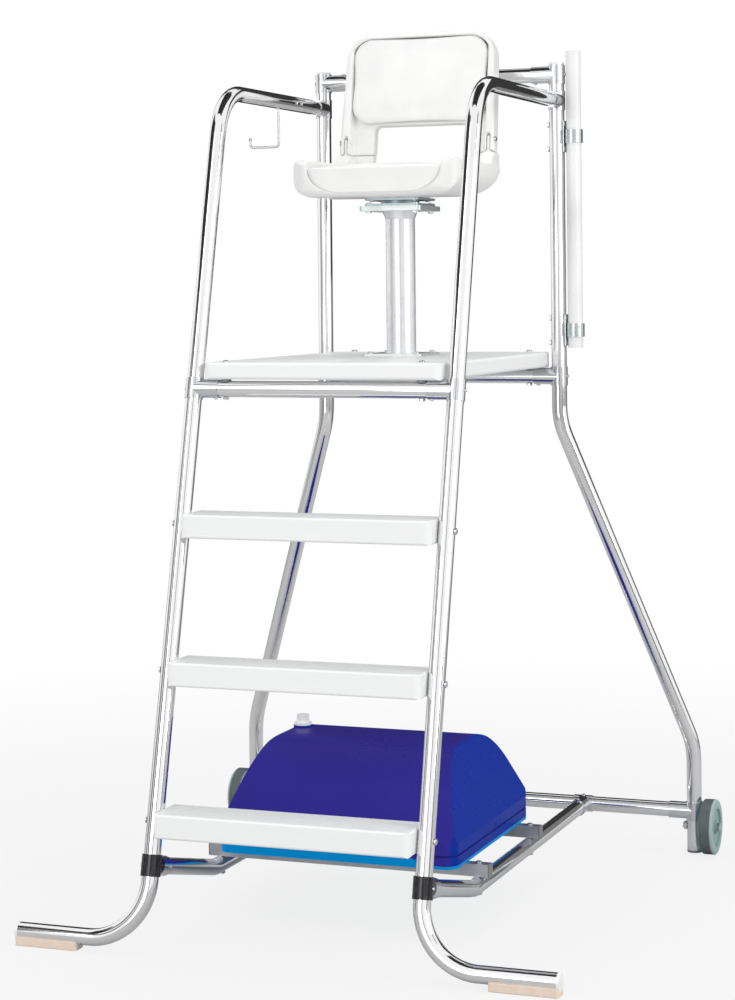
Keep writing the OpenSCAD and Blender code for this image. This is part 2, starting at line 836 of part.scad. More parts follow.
// Outer form of the seat shell before its dish is cut: bolstered sides and a scooped rear
module seat_body() {
    w = seat_w / 2;
    rear_w = back_w / 2 + 3;
    far = 2 * seam_h;
    low_z = seat_z - proud;
    front = front_y - proud;
    intersection() {
        translate([0, 0, low_z]) linear_extrude(height = seam_h + 2 * proud) intersection() {
            round_rect(-w, w, front_y, seam_back_y + far, seat_corner_r);
            round_rect(-w - proud, w + proud, front_y - far, seam_back_y + 4, rear_corner_r);
            translate([0, column_y]) circle(r = swing_r, $fn = 96);
        }
        union() {
            along_y(front, seam_back_y + 10) intersection() {
                round_rect(-w - proud, w + proud, low_z, seam_z + far, keel_r);
                round_rect(-w - 2 * proud, w + 2 * proud, seat_z - far, seat_z + bolster_h, lobe_r);
            }
            along_y(back_y - riser_d, seam_back_y + 12)
                round_rect(-rear_w, rear_w, seat_z + bolster_h / 2, seam_z + proud, 10);
        }
        along_x(-w - 3 * proud, w + 3 * proud) intersection() {
            union() {
                round_rect(front, scoop_y + lip_r, seat_z, seam_z + lip_r + proud, lip_r);
                translate([scoop_y, seat_z + scoop_r]) circle(r = scoop_r, $fn = 96);
            }
            polygon([
                [front - proud, low_z], [front - proud, seat_z + bolster_h - 14],
                [front_y + 16, seat_z + bolster_h + proud], [back_y - riser_d, seat_z + bolster_h + proud],
                [back_y - 4, seam_z], [seam_back_y + 20, seam_z], [seam_back_y + 20, low_z]
            ]);
        }
    }
}

module seat_pan() {
    at_origin() color("white") difference() {
        union() {
            difference() {
                seat_body();
                seat_dish();
                along_y(back_y - 60, seam_back_y + 20)
                    round_rect(-window_w / 2, window_w / 2, rear_window_z, seam_z + 60, 14);
            }
            on_both_sides() ear();
        }
        for (p = seat_bolt_places()) translate([p.x, p.y, seat_z - 1])
            cylinder(h = shell_t - 1.5, r = bolt_r + hole_gap);
    }
}

// Hinge ear that stands on the seat shell inside a slot of the back
module ear() {
    difference() {
        union() {
            translate([ear_x, pin_y, pin_z]) rotate([0, 90, 0])
                cylinder(h = ear_w, r = ear_r, center = true);
            translate([ear_x - ear_w / 2, pin_y - ear_r, seam_z - 10])
                cube([ear_w, 2 * ear_r, pin_z - seam_z + 10]);
        }
        translate([ear_x, pin_y, pin_z]) rotate([0, 90, 0])
            cylinder(h = ear_w + 2, r = pin_r + run_gap, center = true);
    }
}

module hinge_pins() {
    at_origin() color("silver") on_both_sides() translate([pin_seat_x, pin_y, pin_z]) rotate([0, 90, 0])
        screw(pin_r, pin_len, 7, 3.5);
}

// Half width of the back at a height above the seam
function back_x(h) = back_w / 2 - h * (back_w - back_top_w) / 2 / back_h;

// Front outline of the back, with its top corners rounded
module back_outline() {
    corner_r = 72;
    taper = atan2((back_w - back_top_w) / 2, back_h);
    tangent_h = back_h - corner_r + corner_r * sin(taper);
    cx = back_x(tangent_h) - corner_r * cos(taper);
    polygon([
        [-back_x(-30), -30], [back_x(-30), -30], [back_x(tangent_h), tangent_h], [cx, back_h],
        [-cx, back_h], [-back_x(tangent_h), tangent_h]
    ]);
    for (s = [-1, 1]) translate([s * cx, back_h - corner_r]) circle(r = corner_r);
}

// Takes its children from the back's own frame, front face at Y 0 and seam at Z 0, to the chair's
module on_back() {
    translate([0, back_y, seam_z]) rotate([-recline, 0, 0]) children();
}

module seat_back() {
    w = back_w / 2;
    pocket_w = cushion_w / 2 + soft_gap;
    pocket_low = cushion_low - soft_gap;
    pocket_high = cushion_high + soft_gap;
    at_origin() color("white") difference() {
        on_back() difference() {
            intersection() {
                along_y(-1, back_d + 1) back_outline();
                translate([0, 0, -40]) linear_extrude(height = back_h + 50) intersection() {
                    round_rect(-w, w, 0, back_d + 60, 9);
                    round_rect(-w, w, -60, back_d, 40);
                }
                along_x(-w - 1, w + 1) intersection() {
                    round_rect(0, back_d + 60, -60, back_h, 16);
                    round_rect(-60, back_d, -60, back_h, 34);
                }
            }
            along_y(-10, back_d + 10) round_rect(-window_w / 2, window_w / 2, -60, window_h, 12);
            back_hollow();
            along_y(-10, hollow_d + pocket_d)
                round_rect(-pocket_w, pocket_w, pocket_low, pocket_high, pad_corner_r - 2);
        }
        translate([-w - 20, back_y - 60, seam_z + seam_gap - 80]) cube([back_w + 40, back_d + 120, 80]);
        along_x(-w - 10, w + 10) difference() {
            translate([back_y - 40, seam_z - 20]) square([pin_y - back_y + 40, pin_z - seam_z + 20]);
            translate([pin_y, pin_z]) circle(r = pin_z - seam_z - seam_gap);
        }
        on_both_sides() {
            hinge_slot();
            translate([pin_seat_x - pin_len - 0.2, pin_y, pin_z]) rotate([0, 90, 0])
                cylinder(h = 2 * pin_len, r = pin_r + run_gap);
        }
    }
}

// Hollow face of the back: its sides slope out from the cushion to the rim
module back_hollow() {
    inner = cushion_w / 2 + 4;
    outer = back_top_w / 2 - rim_w;
    slope = (outer - inner) / hollow_d;
    intersection() {
        translate([0, 0, -60]) linear_extrude(height = back_h + 60) polygon([
            [-outer - slope, -1], [outer + slope, -1], [inner, hollow_d], [-inner, hollow_d]
        ]);
        along_y(-2, hollow_d + 1)
            round_rect(-outer - 8, outer + 8, -120, cushion_high + 8, pad_corner_r + 16);
    }
}

// Slot in the back's arm that clears the ear as the back folds forward
module hinge_slot() {
    slot_r = ear_r + 2;
    slot_w = ear_w / 2 + ear_gap;
    along_x(ear_x - slot_w, ear_x + slot_w) {
        translate([pin_y, pin_z]) circle(r = slot_r);
        translate([back_y - 40, seam_z - 20]) square([pin_y + slot_r - back_y + 40, pin_z - seam_z + 20]);
        translate([back_y - 40, pin_z]) square([pin_y - back_y + 40, slot_r + 5]);
    }
}

// Closed loop of points round a rounded rectangle, level at z
function loop_corner(cx, cy, r, from, z) = [
    for (i = [0:corner_steps]) let (a = from + 90 * i / corner_steps) [cx + r * cos(a), cy + r * sin(a), z]
];
function loop(hx, y0, y1, r, z) = concat(
    loop_corner(hx - r, y1 - r, r, 0, z), loop_corner(r - hx, y1 - r, r, 90, z),
    loop_corner(r - hx, y0 + r, r, 180, z), loop_corner(hx - r, y0 + r, r, 270, z));

// Closed soft solid through a stack of loops of one length, with a middle point below and above
module stacked_form(loops) {
    n = len(loops[0]);
    rows = len(loops);
    function at(row, i) = 1 + row * n + i % n;
    low = loops[0];
    high = loops[rows - 1];
    centre_low = [0, (low[0].y + low[n - 1].y) / 2, low[0].z];
    centre_high = [0, (high[0].y + high[n - 1].y) / 2, high[0].z];
    points = concat([centre_low], [for (l = loops) for (p = l) p], [centre_high]);
    top = len(points) - 1;
    faces = concat(
        [for (i = [0:n - 1]) [0, at(0, i), at(0, i + 1)]],
        [for (k = [0:rows - 2], i = [0:n - 1]) [at(k, i), at(k + 1, i), at(k + 1, i + 1)]],
        [for (k = [0:rows - 2], i = [0:n - 1]) [at(k, i), at(k + 1, i + 1), at(k, i + 1)]],
        [for (i = [0:n - 1]) [top, at(rows - 1, i + 1), at(rows - 1, i)]]
    );
    polyhedron(points = points, faces = faces);
}

// Rear limit of the seat cushion at a height: the scooped wall, then the upright end of the well
function cushion_rear(z) = min(well_y - soft_gap, scoop_y - soft_gap
    + sqrt(max(0, pow(scoop_r - shell_t, 2) - pow(scoop_r + seat_z - z, 2))));

// Seat cushion: it fills the dish, with an upright rounded front and a low crown
module seat_cushion() {
    w = cushion_w / 2;
    front = front_y + 3;
    side_top = dish_z(90);
    rear = cushion_rear(side_top);
    // Each step of the shoulder: how far in and how far up
    shrink = [[2, 3], [7, 6], [16, 8.4], [30, 10]];
    inset = shrink[3][0];
    mid = (front + rear - 0.1 * inset) / 2;
    hy = mid - front - 0.9 * inset;
    below = [
        for (a = dish_angles) let (z = dish_z(a) + soft_gap)
            loop(dish_x(a), front + 3 * cos(a), cushion_rear(z), 24, z)
    ];
    shoulder = [
        for (s = shrink)
            loop(w - s[0], front + s[0] * 0.9, rear - s[0], 26 + s[0] / 3, side_top - 4 + s[1])
    ];
    crown = [
        for (f = crown_steps)
            loop((w - inset) * f, mid - hy * f, mid + hy * f, 36 * f,
                side_top + 6 + seat_crown * (1 - f * f))
    ];
    at_origin() color("whitesmoke") stacked_form(concat(below, shoulder, crown));
}

// Back cushion: a crowned pad in the recess of the back
module back_cushion() {
    w = cushion_w / 2;
    mid = (cushion_low + cushion_high) / 2;
    hy = (cushion_high - cushion_low) / 2;
    // Each step of the pad's edge: how far in, and how far forward as a share of its thickness
    bulge = [[5, 0], [1.5, 0.14], [0, 0.36], [0.5, 0.58], [3, 0.75], [8, 0.87], [16, 0.95], [28, 1]];
    brow = bulge[7][0];
    rear = hollow_d + pocket_d - soft_gap;
    shell = [
        for (b = bulge)
            loop(w - b[0], b[0] - hy, hy - b[0], pad_corner_r - b[0] / 4, b[1] * back_pad_t)
    ];
    crown = [
        for (f = crown_steps)
            loop((w - brow) * f, -(hy - brow) * f, (hy - brow) * f, (pad_corner_r - brow / 4) * f,
                back_pad_t + back_crown * (1 - f * f))
    ];
    at_origin() color("whitesmoke") on_back() translate([0, rear, mid]) rotate([90, 0, 0])
        stacked_form(concat(shell, crown));
}

// Umbrella tube: open at the top, closed at its foot
module umbrella_tube() {
    at_origin() color("white") translate([umbrella_x, post_y, umbrella_z]) difference() {
        cylinder(h = umbrella_len, r = umbrella_r);
        translate([0, 0, umbrella_foot]) cylinder(h = umbrella_len, r = umbrella_r - umbrella_wall);
    }
}

// Bracket: a ring round the umbrella tube on a strap that is bolted to the post
module umbrella_brackets() {
    at_origin() color("darkseagreen") for (z = bracket_zs()) difference() {
        union() {
            translate([umbrella_x, post_y, z - bracket_h / 2]) cylinder(h = bracket_h, r = bracket_r);
            translate([half + tube_r, post_y - bracket_w / 2, z - strap_h / 2])
                cube([bracket_t, bracket_w, strap_h]);
        }
        translate([umbrella_x, post_y, z - bracket_h])
            cylinder(h = 2 * bracket_h, r = umbrella_r + fit_gap);
        translate([half, post_y, z - strap_h]) cylinder(h = 2 * strap_h, r = tube_r);
        for (s = [-1, 1]) translate([half, post_y, z + s * bracket_bolt]) rotate([0, 90, 0])
            cylinder(h = umbrella_out, r = bolt_r + hole_gap);
    }
}

module bracket_bolts() {
    at_origin() color("silver") for (z = bracket_bolt_zs())
        translate([half + tube_r + bracket_t, post_y, z]) rotate([0, 90, 0])
            through_bolt(tube_od + bracket_t, strap_head_t);
}

// Hook: a bent rod that hangs from the left armrest, with a ball on its tip
module hook_rod() {
    drop = hook_drop + hook_seat - hook_bend_r;
    across = hook_reach - 2 * hook_bend_r;
    tip_z = arm_z - tube_r - hook_drop + hook_tip;
    at_origin() color("silver") {
        lay([-half, hook_y, arm_z - tube_r + hook_seat], -Z, -X)
            tube_run([[drop, 90], [across, 90], [hook_tip - hook_bend_r, 0]], hook_bend_r, hook_d / 2);
        translate([-half - hook_reach, hook_y, tip_z]) sphere(r = hook_d * 0.7);
    }
}

module arm_screws() {
    at_origin() color("silver") for (y = arm_screw_ys) fasten([tube_r - half, y, arm_z], X)
        screw(screw_r, tube_r - 2, screw_head_r, screw_head_t);
}

module rear_cross_tube() {
    at_origin() color("silver") translate([butt - foot_x, wheel_y, base_z]) rotate([0, 90, 0])
        cylinder(h = 2 * (foot_x - butt), r = tube_r);
}

// Tank rail: a square bar across both side tubes
module tank_rail(y) {
    at_origin() color("silver") difference() {
        translate([-rail_len / 2, y - rail_d / 2, rail_z]) cube([rail_len, rail_d, rail_h]);
        for (s = [-1, 1]) translate([s * half, y, rail_z - 1])
            cylinder(h = rail_h + 2, r = bolt_r + hole_gap);
    }
}

module tank_rail_front() {
    tank_rail(rail_ys()[0]);
}

module tank_rail_rear() {
    tank_rail(rail_ys()[1]);
}

module rail_caps() {
    end = rail_len / 2;
    d = rail_d / 2;
    at_origin() color("gray") for (y = rail_ys()) on_both_sides()
        soft_block(end, end + 4, y - d, y + d, rail_z, rail_z + rail_h, 1, 1.5);
}

module rail_bolts() {
    at_origin() color("silver") for (y = rail_ys(), s = [-1, 1]) translate([s * half, y, rail_z + rail_h])
        through_bolt(rail_h + tube_od);
}

// Side outline of one half of the tank: upright band, sloped side and rounded shoulder
module tank_outline(half_w, slope, shoulder_r, h) {
    rise = h - tank_band;
    top_w = half_w - rise * slope;
    lean_in = atan(slope);
    trim = shoulder_r * tan((90 - lean_in) / 2);
    // Points where the shoulder arc leaves the slope and reaches the top
    low = [top_w + trim * sin(lean_in), h - trim * cos(lean_in)];
    centre = [top_w - trim, h - shoulder_r];
    for (s = [-1, 1]) intersection() {
        translate([s * centre.x, centre.y]) circle(r = shoulder_r, $fn = 96);
        polygon([
            [0, centre.y], [s * centre.x, centre.y], [s * low.x, low.y], [s * low.x, h + 1], [0, h + 1]
        ]);
    }
    polygon([
        [-half_w, -proud], [half_w, -proud], [half_w, tank_band], low, centre, [centre.x, h],
        [-centre.x, h], [-centre.x, centre.y], [-low.x, low.y], [-half_w, tank_band]
    ]);
}

// Ballast tank: a low moulded hump with a band round its foot, a groove and a filler neck
module ballast_tank() {
    w = tank_w / 2;
    d = tank_d / 2;
    g = groove_h;
    at_origin() color("royalblue") difference() {
        union() {
            intersection() {
                translate([0, tank_y, tank_z]) linear_extrude(height = tank_h + 2 * proud)
                    round_rect(-w, w, -d, d, tank_corner_r);
                translate([0, 0, tank_z]) along_y(tank_y - d - 1, tank_y + d + 1)
                    tank_outline(w + proud / 4, side_slope, side_shoulder_r, tank_h + proud);
                translate([0, tank_y, tank_z]) along_x(-w - 1, w + 1)
                    tank_outline(d + proud / 4, end_slope, end_shoulder_r, tank_h);
            }
            translate([cap_x, cap_y, tank_top - plug_len]) cylinder(h = plug_len + neck_h, r = neck_r);
        }
        translate([0, tank_y, tank_z + tank_band * 0.48]) linear_extrude(height = g) difference() {
            square([tank_w + 10, tank_d + 10], center = true);
            round_rect(g - w, w - g, g - d, d - g, tank_corner_r - g);
        }
        translate([cap_x, cap_y, tank_top - plug_len - 2])
            cylinder(h = plug_len + neck_h + 3, r = plug_bore_r);
    }
}

// Screw cap of the tank, with a ribbed grip
module fill_cap() {
    ribs = 20;
    rim_r = 21;
    rim_t = 6;
    grip_r = 15;
    grip_h = 19;
    at_origin() color("white") translate([cap_x, cap_y, tank_top + neck_h + soft_gap]) {
        translate([0, 0, -plug_len]) cylinder(h = plug_len + 1, r = plug_bore_r - 0.2);
        cylinder(h = rim_t, r = rim_r);
        difference() {
            translate([0, 0, rim_t - 1]) cylinder(h = grip_h + 1, r = grip_r);
            for (i = [0:ribs - 1]) rotate([0, 0, i * 360 / ribs]) translate([grip_r + 0.6, 0, rim_t + 1])
                cylinder(h = grip_h, r = 1.4);
        }
    }
}

// Axle: bolt through the leg with a spacer collar, nut inside and head outside the wheel
module axles() {
    outer = wheel_x + wheel_w / 2 + 0.6;
    inner = foot_x - tube_r;
    nut_t = 8;
    head_t = 7;
    head_r = 11;
    at_origin() color("silver") on_both_sides() translate([0, wheel_y, wheel_r]) rotate([0, 90, 0]) {
        translate([0, 0, inner - nut_t - 3])
            cylinder(h = outer + head_t / 2 - inner + nut_t + 3, r = axle_d / 2);
        translate([0, 0, inner - nut_t]) cylinder(h = nut_t, r = head_r, $fn = 6);
        translate([0, 0, foot_x + tube_r]) cylinder(h = wheel_gap - 0.4, r = head_r + 1);
        translate([0, 0, outer]) cylinder(h = head_t, r = head_r);
    }
}

// Turns its children's Z axis along a wheel's axle, at the middle of the wheel
module on_axle(s) {
    translate([s * wheel_x, wheel_y, wheel_r]) rotate([0, 90, 0]) children();
}

// Hub: a disc with a raised boss and a shallow dish on each face
module wheel_hub(s) {
    at_origin() color("cadetblue") on_axle(s) difference() {
        cylinder(h = wheel_w, r = hub_r, center = true);
        cylinder(h = wheel_w + 2, r = axle_d / 2 + run_gap, center = true);
        for (f = [0, 180]) rotate([f, 0, 0]) translate([0, 0, wheel_w / 2 - hub_dish]) difference() {
            cylinder(h = hub_dish + 1, r = hub_r - hub_rim_w);
            cylinder(h = hub_dish + 1, r = hub_boss_r);
        }
    }
}

// Tyre: a solid rubber ring with rounded shoulders
module wheel_tyre(s) {
    at_origin() color("dimgray") on_axle(s) rotate_extrude() intersection() {
        round_rect(hub_r - 20, wheel_r, -wheel_w / 2, wheel_w / 2, 6);
        translate([hub_r + tyre_gap, -wheel_w]) square([wheel_r, 2 * wheel_w]);
    }
}

module wheel_left_hub() {
    wheel_hub(-1);
}

module wheel_left_tyre() {
    wheel_tyre(-1);
}

module wheel_right_hub() {
    wheel_hub(1);
}

module wheel_right_tyre() {
    wheel_tyre(1);
}

handrail_left();
handrail_right();
foot_tube_left();
foot_tube_right();
foot_caps();
foot_pads();
base_collars();
side_tube_left();
side_tube_right();
rear_leg_left();
rear_leg_right();
post_caps();
leg_tips();
arm_tees();
back_rail();
back_rail_tees();
front_bar();
front_bar_tees();
rear_bar();
rear_bar_tees();
deck();
deck_spacers();
deck_bolts();
step_upper();
step_middle();
step_lower();
step_bolts();
column();
column_flange();
column_head();
flange_bolts();
swivel_base();
swivel_bolts();
swivel_top();
seat_bolts();
seat_pan();
seat_cushion();
hinge_pins();
seat_back();
back_cushion();
umbrella_tube();
umbrella_brackets();
bracket_bolts();
hook_rod();
arm_screws();
rear_cross_tube();
leg_tees();
side_tees();
tank_rail_front();
tank_rail_rear();
rail_caps();
rail_bolts();
ballast_tank();
fill_cap();
axles();
wheel_left_hub();
wheel_left_tyre();
wheel_right_hub();
wheel_right_tyre();
fitting_screws();
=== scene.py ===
"""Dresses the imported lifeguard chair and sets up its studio.

The tubework is polished, the seat's shells and pads are built anew with softer edges, and the
boards, the tank, the wheels and the fittings get their finishes.
"""

from __future__ import annotations

import logging
import math
from abc import ABC, abstractmethod
from dataclasses import dataclass, field
from enum import Enum
from typing import Any, ClassVar, Iterable, Sequence, Union

import bmesh
import bpy
from mathutils import Matrix, Vector


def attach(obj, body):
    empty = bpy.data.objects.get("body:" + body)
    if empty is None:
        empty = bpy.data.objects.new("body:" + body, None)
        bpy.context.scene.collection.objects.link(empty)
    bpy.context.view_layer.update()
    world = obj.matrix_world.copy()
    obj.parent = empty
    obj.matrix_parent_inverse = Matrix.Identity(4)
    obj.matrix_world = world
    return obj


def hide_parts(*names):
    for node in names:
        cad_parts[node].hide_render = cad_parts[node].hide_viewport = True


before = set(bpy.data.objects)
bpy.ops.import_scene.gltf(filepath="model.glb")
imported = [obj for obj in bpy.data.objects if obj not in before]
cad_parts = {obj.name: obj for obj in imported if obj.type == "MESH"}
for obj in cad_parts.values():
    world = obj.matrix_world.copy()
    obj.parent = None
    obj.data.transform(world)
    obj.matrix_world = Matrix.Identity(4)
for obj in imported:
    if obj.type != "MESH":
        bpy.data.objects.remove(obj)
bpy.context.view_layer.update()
LOG = logging.getLogger("chair")

Colour = tuple[float, float, float]
Ring = list[Vector]
Value = Union["Flow", float, Sequence[float]]

MM_PER_M = 1000
CROWN_SHARES = (0.85, 0.68, 0.5, 0.32, 0.15)


class Body(Enum):
    """The moving bodies that carry new pieces."""

    SEAT = "seat"
    BACK = "back"


def tint(red: int, green: int, blue: int) -> Colour:
    """Turns a colour as it is seen on screen into the linear one that a shader takes.

    Args:
        red: red, 0 to 255.
        green: green, 0 to 255.
        blue: blue, 0 to 255.

    Returns:
        The linear colour.
    """

    def linear(value: int) -> float:
        """One channel."""
        part = value / 255
        return part / 12.92 if part <= 0.04045 else ((part + 0.055) / 1.055) ** 2.4

    return linear(red), linear(green), linear(blue)


@dataclass(frozen=True)
class Flow:
    """A number, colour or vector on its way through a material, with maths written as an expression."""

    paint: "Paint"
    socket: Any

    def _math(self, operation: str, *values: Value, clamp: bool = False) -> "Flow":
        """Adds one Math node."""
        sockets = dict(enumerate(values))
        return self.paint.node("ShaderNodeMath", {"operation": operation, "use_clamp": clamp}, sockets)

    def __add__(self, other: Value) -> "Flow":
        """self + other"""
        return self._math("ADD", self, other)

    __radd__ = __add__

    def __mul__(self, other: Value) -> "Flow":
        """self * other"""
        return self._math("MULTIPLY", self, other)

    __rmul__ = __mul__

    def __sub__(self, other: Value) -> "Flow":
        """self - other"""
        return self._math("SUBTRACT", self, other)

    def __rsub__(self, other: Value) -> "Flow":
        """other - self"""
        return self._math("SUBTRACT", other, self)

    def __neg__(self) -> "Flow":
        """-self"""
        return self._math("MULTIPLY", self, -1.0)

    def __abs__(self) -> "Flow":
        """abs(self)"""
        return self._math("ABSOLUTE", self)

    def sin(self) -> "Flow":
        """The sine of a value in radians."""
        return self._math("SINE", self)

    def clamp(self) -> "Flow":
        """The value kept between 0 and 1."""
        return self._math("ADD", self, 0.0, clamp=True)

    def most(self, other: Value) -> "Flow":
        """The larger of two values."""
        return self._math("MAXIMUM", self, other)

    def ease(self, low: float, high: float) -> "Flow":
        """Goes smoothly from 0 where the value is low to 1 where it is high."""
        settings = {"interpolation_type": "SMOOTHSTEP"}
        sockets = {"Value": self, "From Min": low, "From Max": high}
        return self.paint.node("ShaderNodeMapRange", settings, sockets)

    def part(self, axis: int) -> "Flow":
        """One of a vector's three numbers."""
        return self.paint.node("ShaderNodeSeparateXYZ", {}, {0: self}, out=axis)


class Paint:
    """A material on the easel: its nodes and the ways to add to them."""

    def __init__(self, name: str) -> None:
        """Starts a material with one Principled shader.

        Args:
            name: the material's name.
        """
        self.material = bpy.data.materials.new(name)
        self.material.use_nodes = True
        self.tree = self.material.node_tree
        self.shader = self.tree.nodes["Principled BSDF"]

    @staticmethod
    def _find(sockets: Any, key: int | str) -> Any:
        """A socket by its number, its identifier or its name."""
        if isinstance(key, int):
            return sockets[key]
        exact = [s for s in sockets if s.identifier == key]
        return exact[0] if exact else sockets[key]

    def feed(self, socket: Any, value: Value) -> None:
        """Links a flow to a socket, or sets the socket to a constant."""
        if isinstance(value, Flow):
            self.tree.links.new(value.socket, socket)
        elif socket.type == "RGBA":
            socket.default_value = (*value, 1.0)
        else:
            socket.default_value = value

    def node(
        self, kind: str, settings: dict[str, Any], sockets: dict[int | str, Value], out: int | str = 0
    ) -> Flow:
        """Adds a node.

        Args:
            kind: the node's type.
            settings: its properties, set first.
            sockets: links and constants by socket.
            out: the output wanted.

        Returns:
            The output as a flow.
        """
        made = self.tree.nodes.new(kind)
        for key, value in settings.items():
            setattr(made, key, value)
        for key, value in sockets.items():
            self.feed(self._find(made.inputs, key), value)
        return Flow(self, self._find(made.outputs, out))

    def mix(self, share: Value, low: Value, high: Value) -> Flow:
        """Mixes two colours: low where share is 0, high where it is 1."""
        sockets = {"Factor_Float": share, "A_Color": low, "B_Color": high}
        return self.node("ShaderNodeMix", {"data_type": "RGBA"}, sockets, out="Result_Color")

    def vector(self, operation: str, first: Value, second: Value) -> Flow:
        """Adds one Vector Math node; a length or a dot product comes out as a number."""
        out = "Value" if operation in ("LENGTH", "DOT_PRODUCT") else "Vector"
        return self.node("ShaderNodeVectorMath", {"operation": operation}, {0: first, 1: second}, out=out)

    def place(self) -> Flow:
        """Where a point is on the chair, in metres."""
        return self.node("ShaderNodeTexCoord", {}, {}, out="Object")

    def facing(self, axis: int) -> Flow:
        """How far the surface faces along an axis, from -1 to 1."""
        return self.node("ShaderNodeNewGeometry", {}, {}, out="Normal").part(axis)

    def noise(self, scale: float, detail: float = 3.0, stretch: Sequence[float] = (1, 1, 1)) -> Flow:
        """Soft noise from 0 to 1 with a number of blotches to the metre."""
        where = self.vector("MULTIPLY", self.place(), stretch)
        return self.node("ShaderNodeTexNoise", {}, {"Vector": where, "Scale": scale, "Detail": detail})

    def cells(self, scale: float) -> Flow:
        """Distance to the nearest of scattered points, with a number of cells to the metre."""
        return self.node("ShaderNodeTexVoronoi", {}, {"Vector": self.place(), "Scale": scale}, out="Distance")

    def rounded_edge(self, radius: float) -> Flow:
        """A mask that is 1 on edges and 0 on flat surfaces, from a bevel of the given radius."""
        bevel = self.node("ShaderNodeBevel", {"samples": 4}, {"Radius": radius})
        flat = self.node("ShaderNodeNewGeometry", {}, {}, out="Normal")
        return 1 - self.vector("DOT_PRODUCT", bevel, flat)

    def bump(self, height: Flow, strength: float, distance: float) -> None:
        """Raises the surface by a height, at most by a distance in metres."""
        sockets = {"Height": height, "Strength": strength, "Distance": distance}
        self.finish(Normal=self.node("ShaderNodeBump", {}, sockets))

    def finish(self, **values: Value) -> None:
        """Sets the shader's sockets; an underscore stands for a space in a name."""
        for key, value in values.items():
            self.feed(self.shader.inputs[key.replace("_", " ")], value)


@dataclass(frozen=True)
class Finish(ABC):
    """A finish that can be put on pieces; it makes its material once."""

    made: ClassVar[dict[str, bpy.types.Material]] = {}
    name: str

    def material(self) -> bpy.types.Material:
        """The finish's material, made when it is first asked for."""
        if self.name not in self.made:
            paint = Paint(f"{self.name}_finish")
            self.dress(paint)
            self.made[self.name] = paint.material
        return self.made[self.name]

    @abstractmethod
    def dress(self, paint: Paint) -> None:
        """Lays the finish on a fresh material."""

    def put_on(self, *things: bpy.types.Object) -> None:
        """Gives objects this finish alone."""
        for thing in things:
            if not thing.data.materials:
                thing.data.materials.append(self.material())
            for place in range(len(thing.data.materials)):
                thing.data.materials[place] = self.material()


@dataclass(frozen=True)
class PolishedSteel(Finish):
    """Mirror-polished tube or rod with faint draw lines and finger smudges."""

    colour: Colour = (0.90, 0.90, 0.91)
    roughness: float = 0.06
    smudge: float = 0.08
    draw: tuple[float, float, float] = (1, 1, 0.04)

    def dress(self, paint: Paint) -> None:
        """Lays the finish on a fresh material."""
        smear = paint.noise(7, 4).ease(0.48, 0.78)
        lines = paint.noise(500, 2, self.draw)
        dull = tuple(part * 0.82 for part in self.colour)
        paint.finish(
            Base_Color=paint.mix(smear * 0.5 + lines * 0.12, self.colour, dull),
            Metallic=1.0,
            Roughness=smear * self.smudge + lines * 0.03 + self.roughness,
        )
        paint.bump(lines * 0.4 + paint.noise(28, 2) * 0.6, 0.10, 0.0004)


@dataclass(frozen=True)
class Moulded(Finish):
    """Moulded plastic with a faint ripple, a fine skin and rubbed edges."""

    colour: Colour = (0.80, 0.80, 0.80)
    worn: Colour = (0.9, 0.9, 0.9)
    roughness: float = 0.3
    ripple: float = 0.25
    skin: float = 900.0

    def dress(self, paint: Paint) -> None:
        """Lays the finish on a fresh material."""
        cloud = paint.noise(11, 4).ease(0.35, 0.7)
        shade = tuple(part * 0.93 for part in self.colour)
        rub = (paint.rounded_edge(0.002) * 5).clamp() * paint.noise(60, 3).ease(0.45, 0.65) * 0.5
        paint.finish(
            Base_Color=paint.mix(rub, paint.mix(cloud, self.colour, shade), self.worn),
            Roughness=cloud * 0.08 + rub * 0.15 + self.roughness,
        )
        paint.bump(paint.noise(self.skin, 2) * 0.35 + paint.noise(24, 2) * self.ripple, 0.14, 0.0006)


@dataclass(frozen=True)
class CollarPaint(Finish):
    """Black sleeves whose branches are left as bright steel.

    The centre is the sleeve's y and z in metres, and it leans back by an angle in degrees.
    """

    centre: tuple[float, float] = (-0.646896, 0.1906)
    lean: float = 13.62
    sleeve_r: float = 0.0228
    blur: float = 0.0008
    black: Colour = (0.010, 0.010, 0.012)
    steel: Colour = (0.84, 0.84, 0.86)

    def dress(self, paint: Paint) -> None:
        """Lays the finish on a fresh material."""
        where, turn = paint.place(), math.radians(self.lean)
        y, z = where.part(1) - self.centre[0], where.part(2) - self.centre[1]
        along = y * math.cos(turn) - z * math.sin(turn)
        branch = along.ease(self.sleeve_r, self.sleeve_r + self.blur)
        scuff = paint.noise(60, 4).ease(0.5, 0.75)
        worn = tuple(part * 4 + 0.01 for part in self.black)
        paint.finish(
            Base_Color=paint.mix(branch, paint.mix(scuff * 0.5, self.black, worn), self.steel),
            Metallic=branch,
            Roughness=scuff * 0.12 + 0.12,
        )
        paint.bump(paint.noise(300, 2), 0.05, 0.0003)


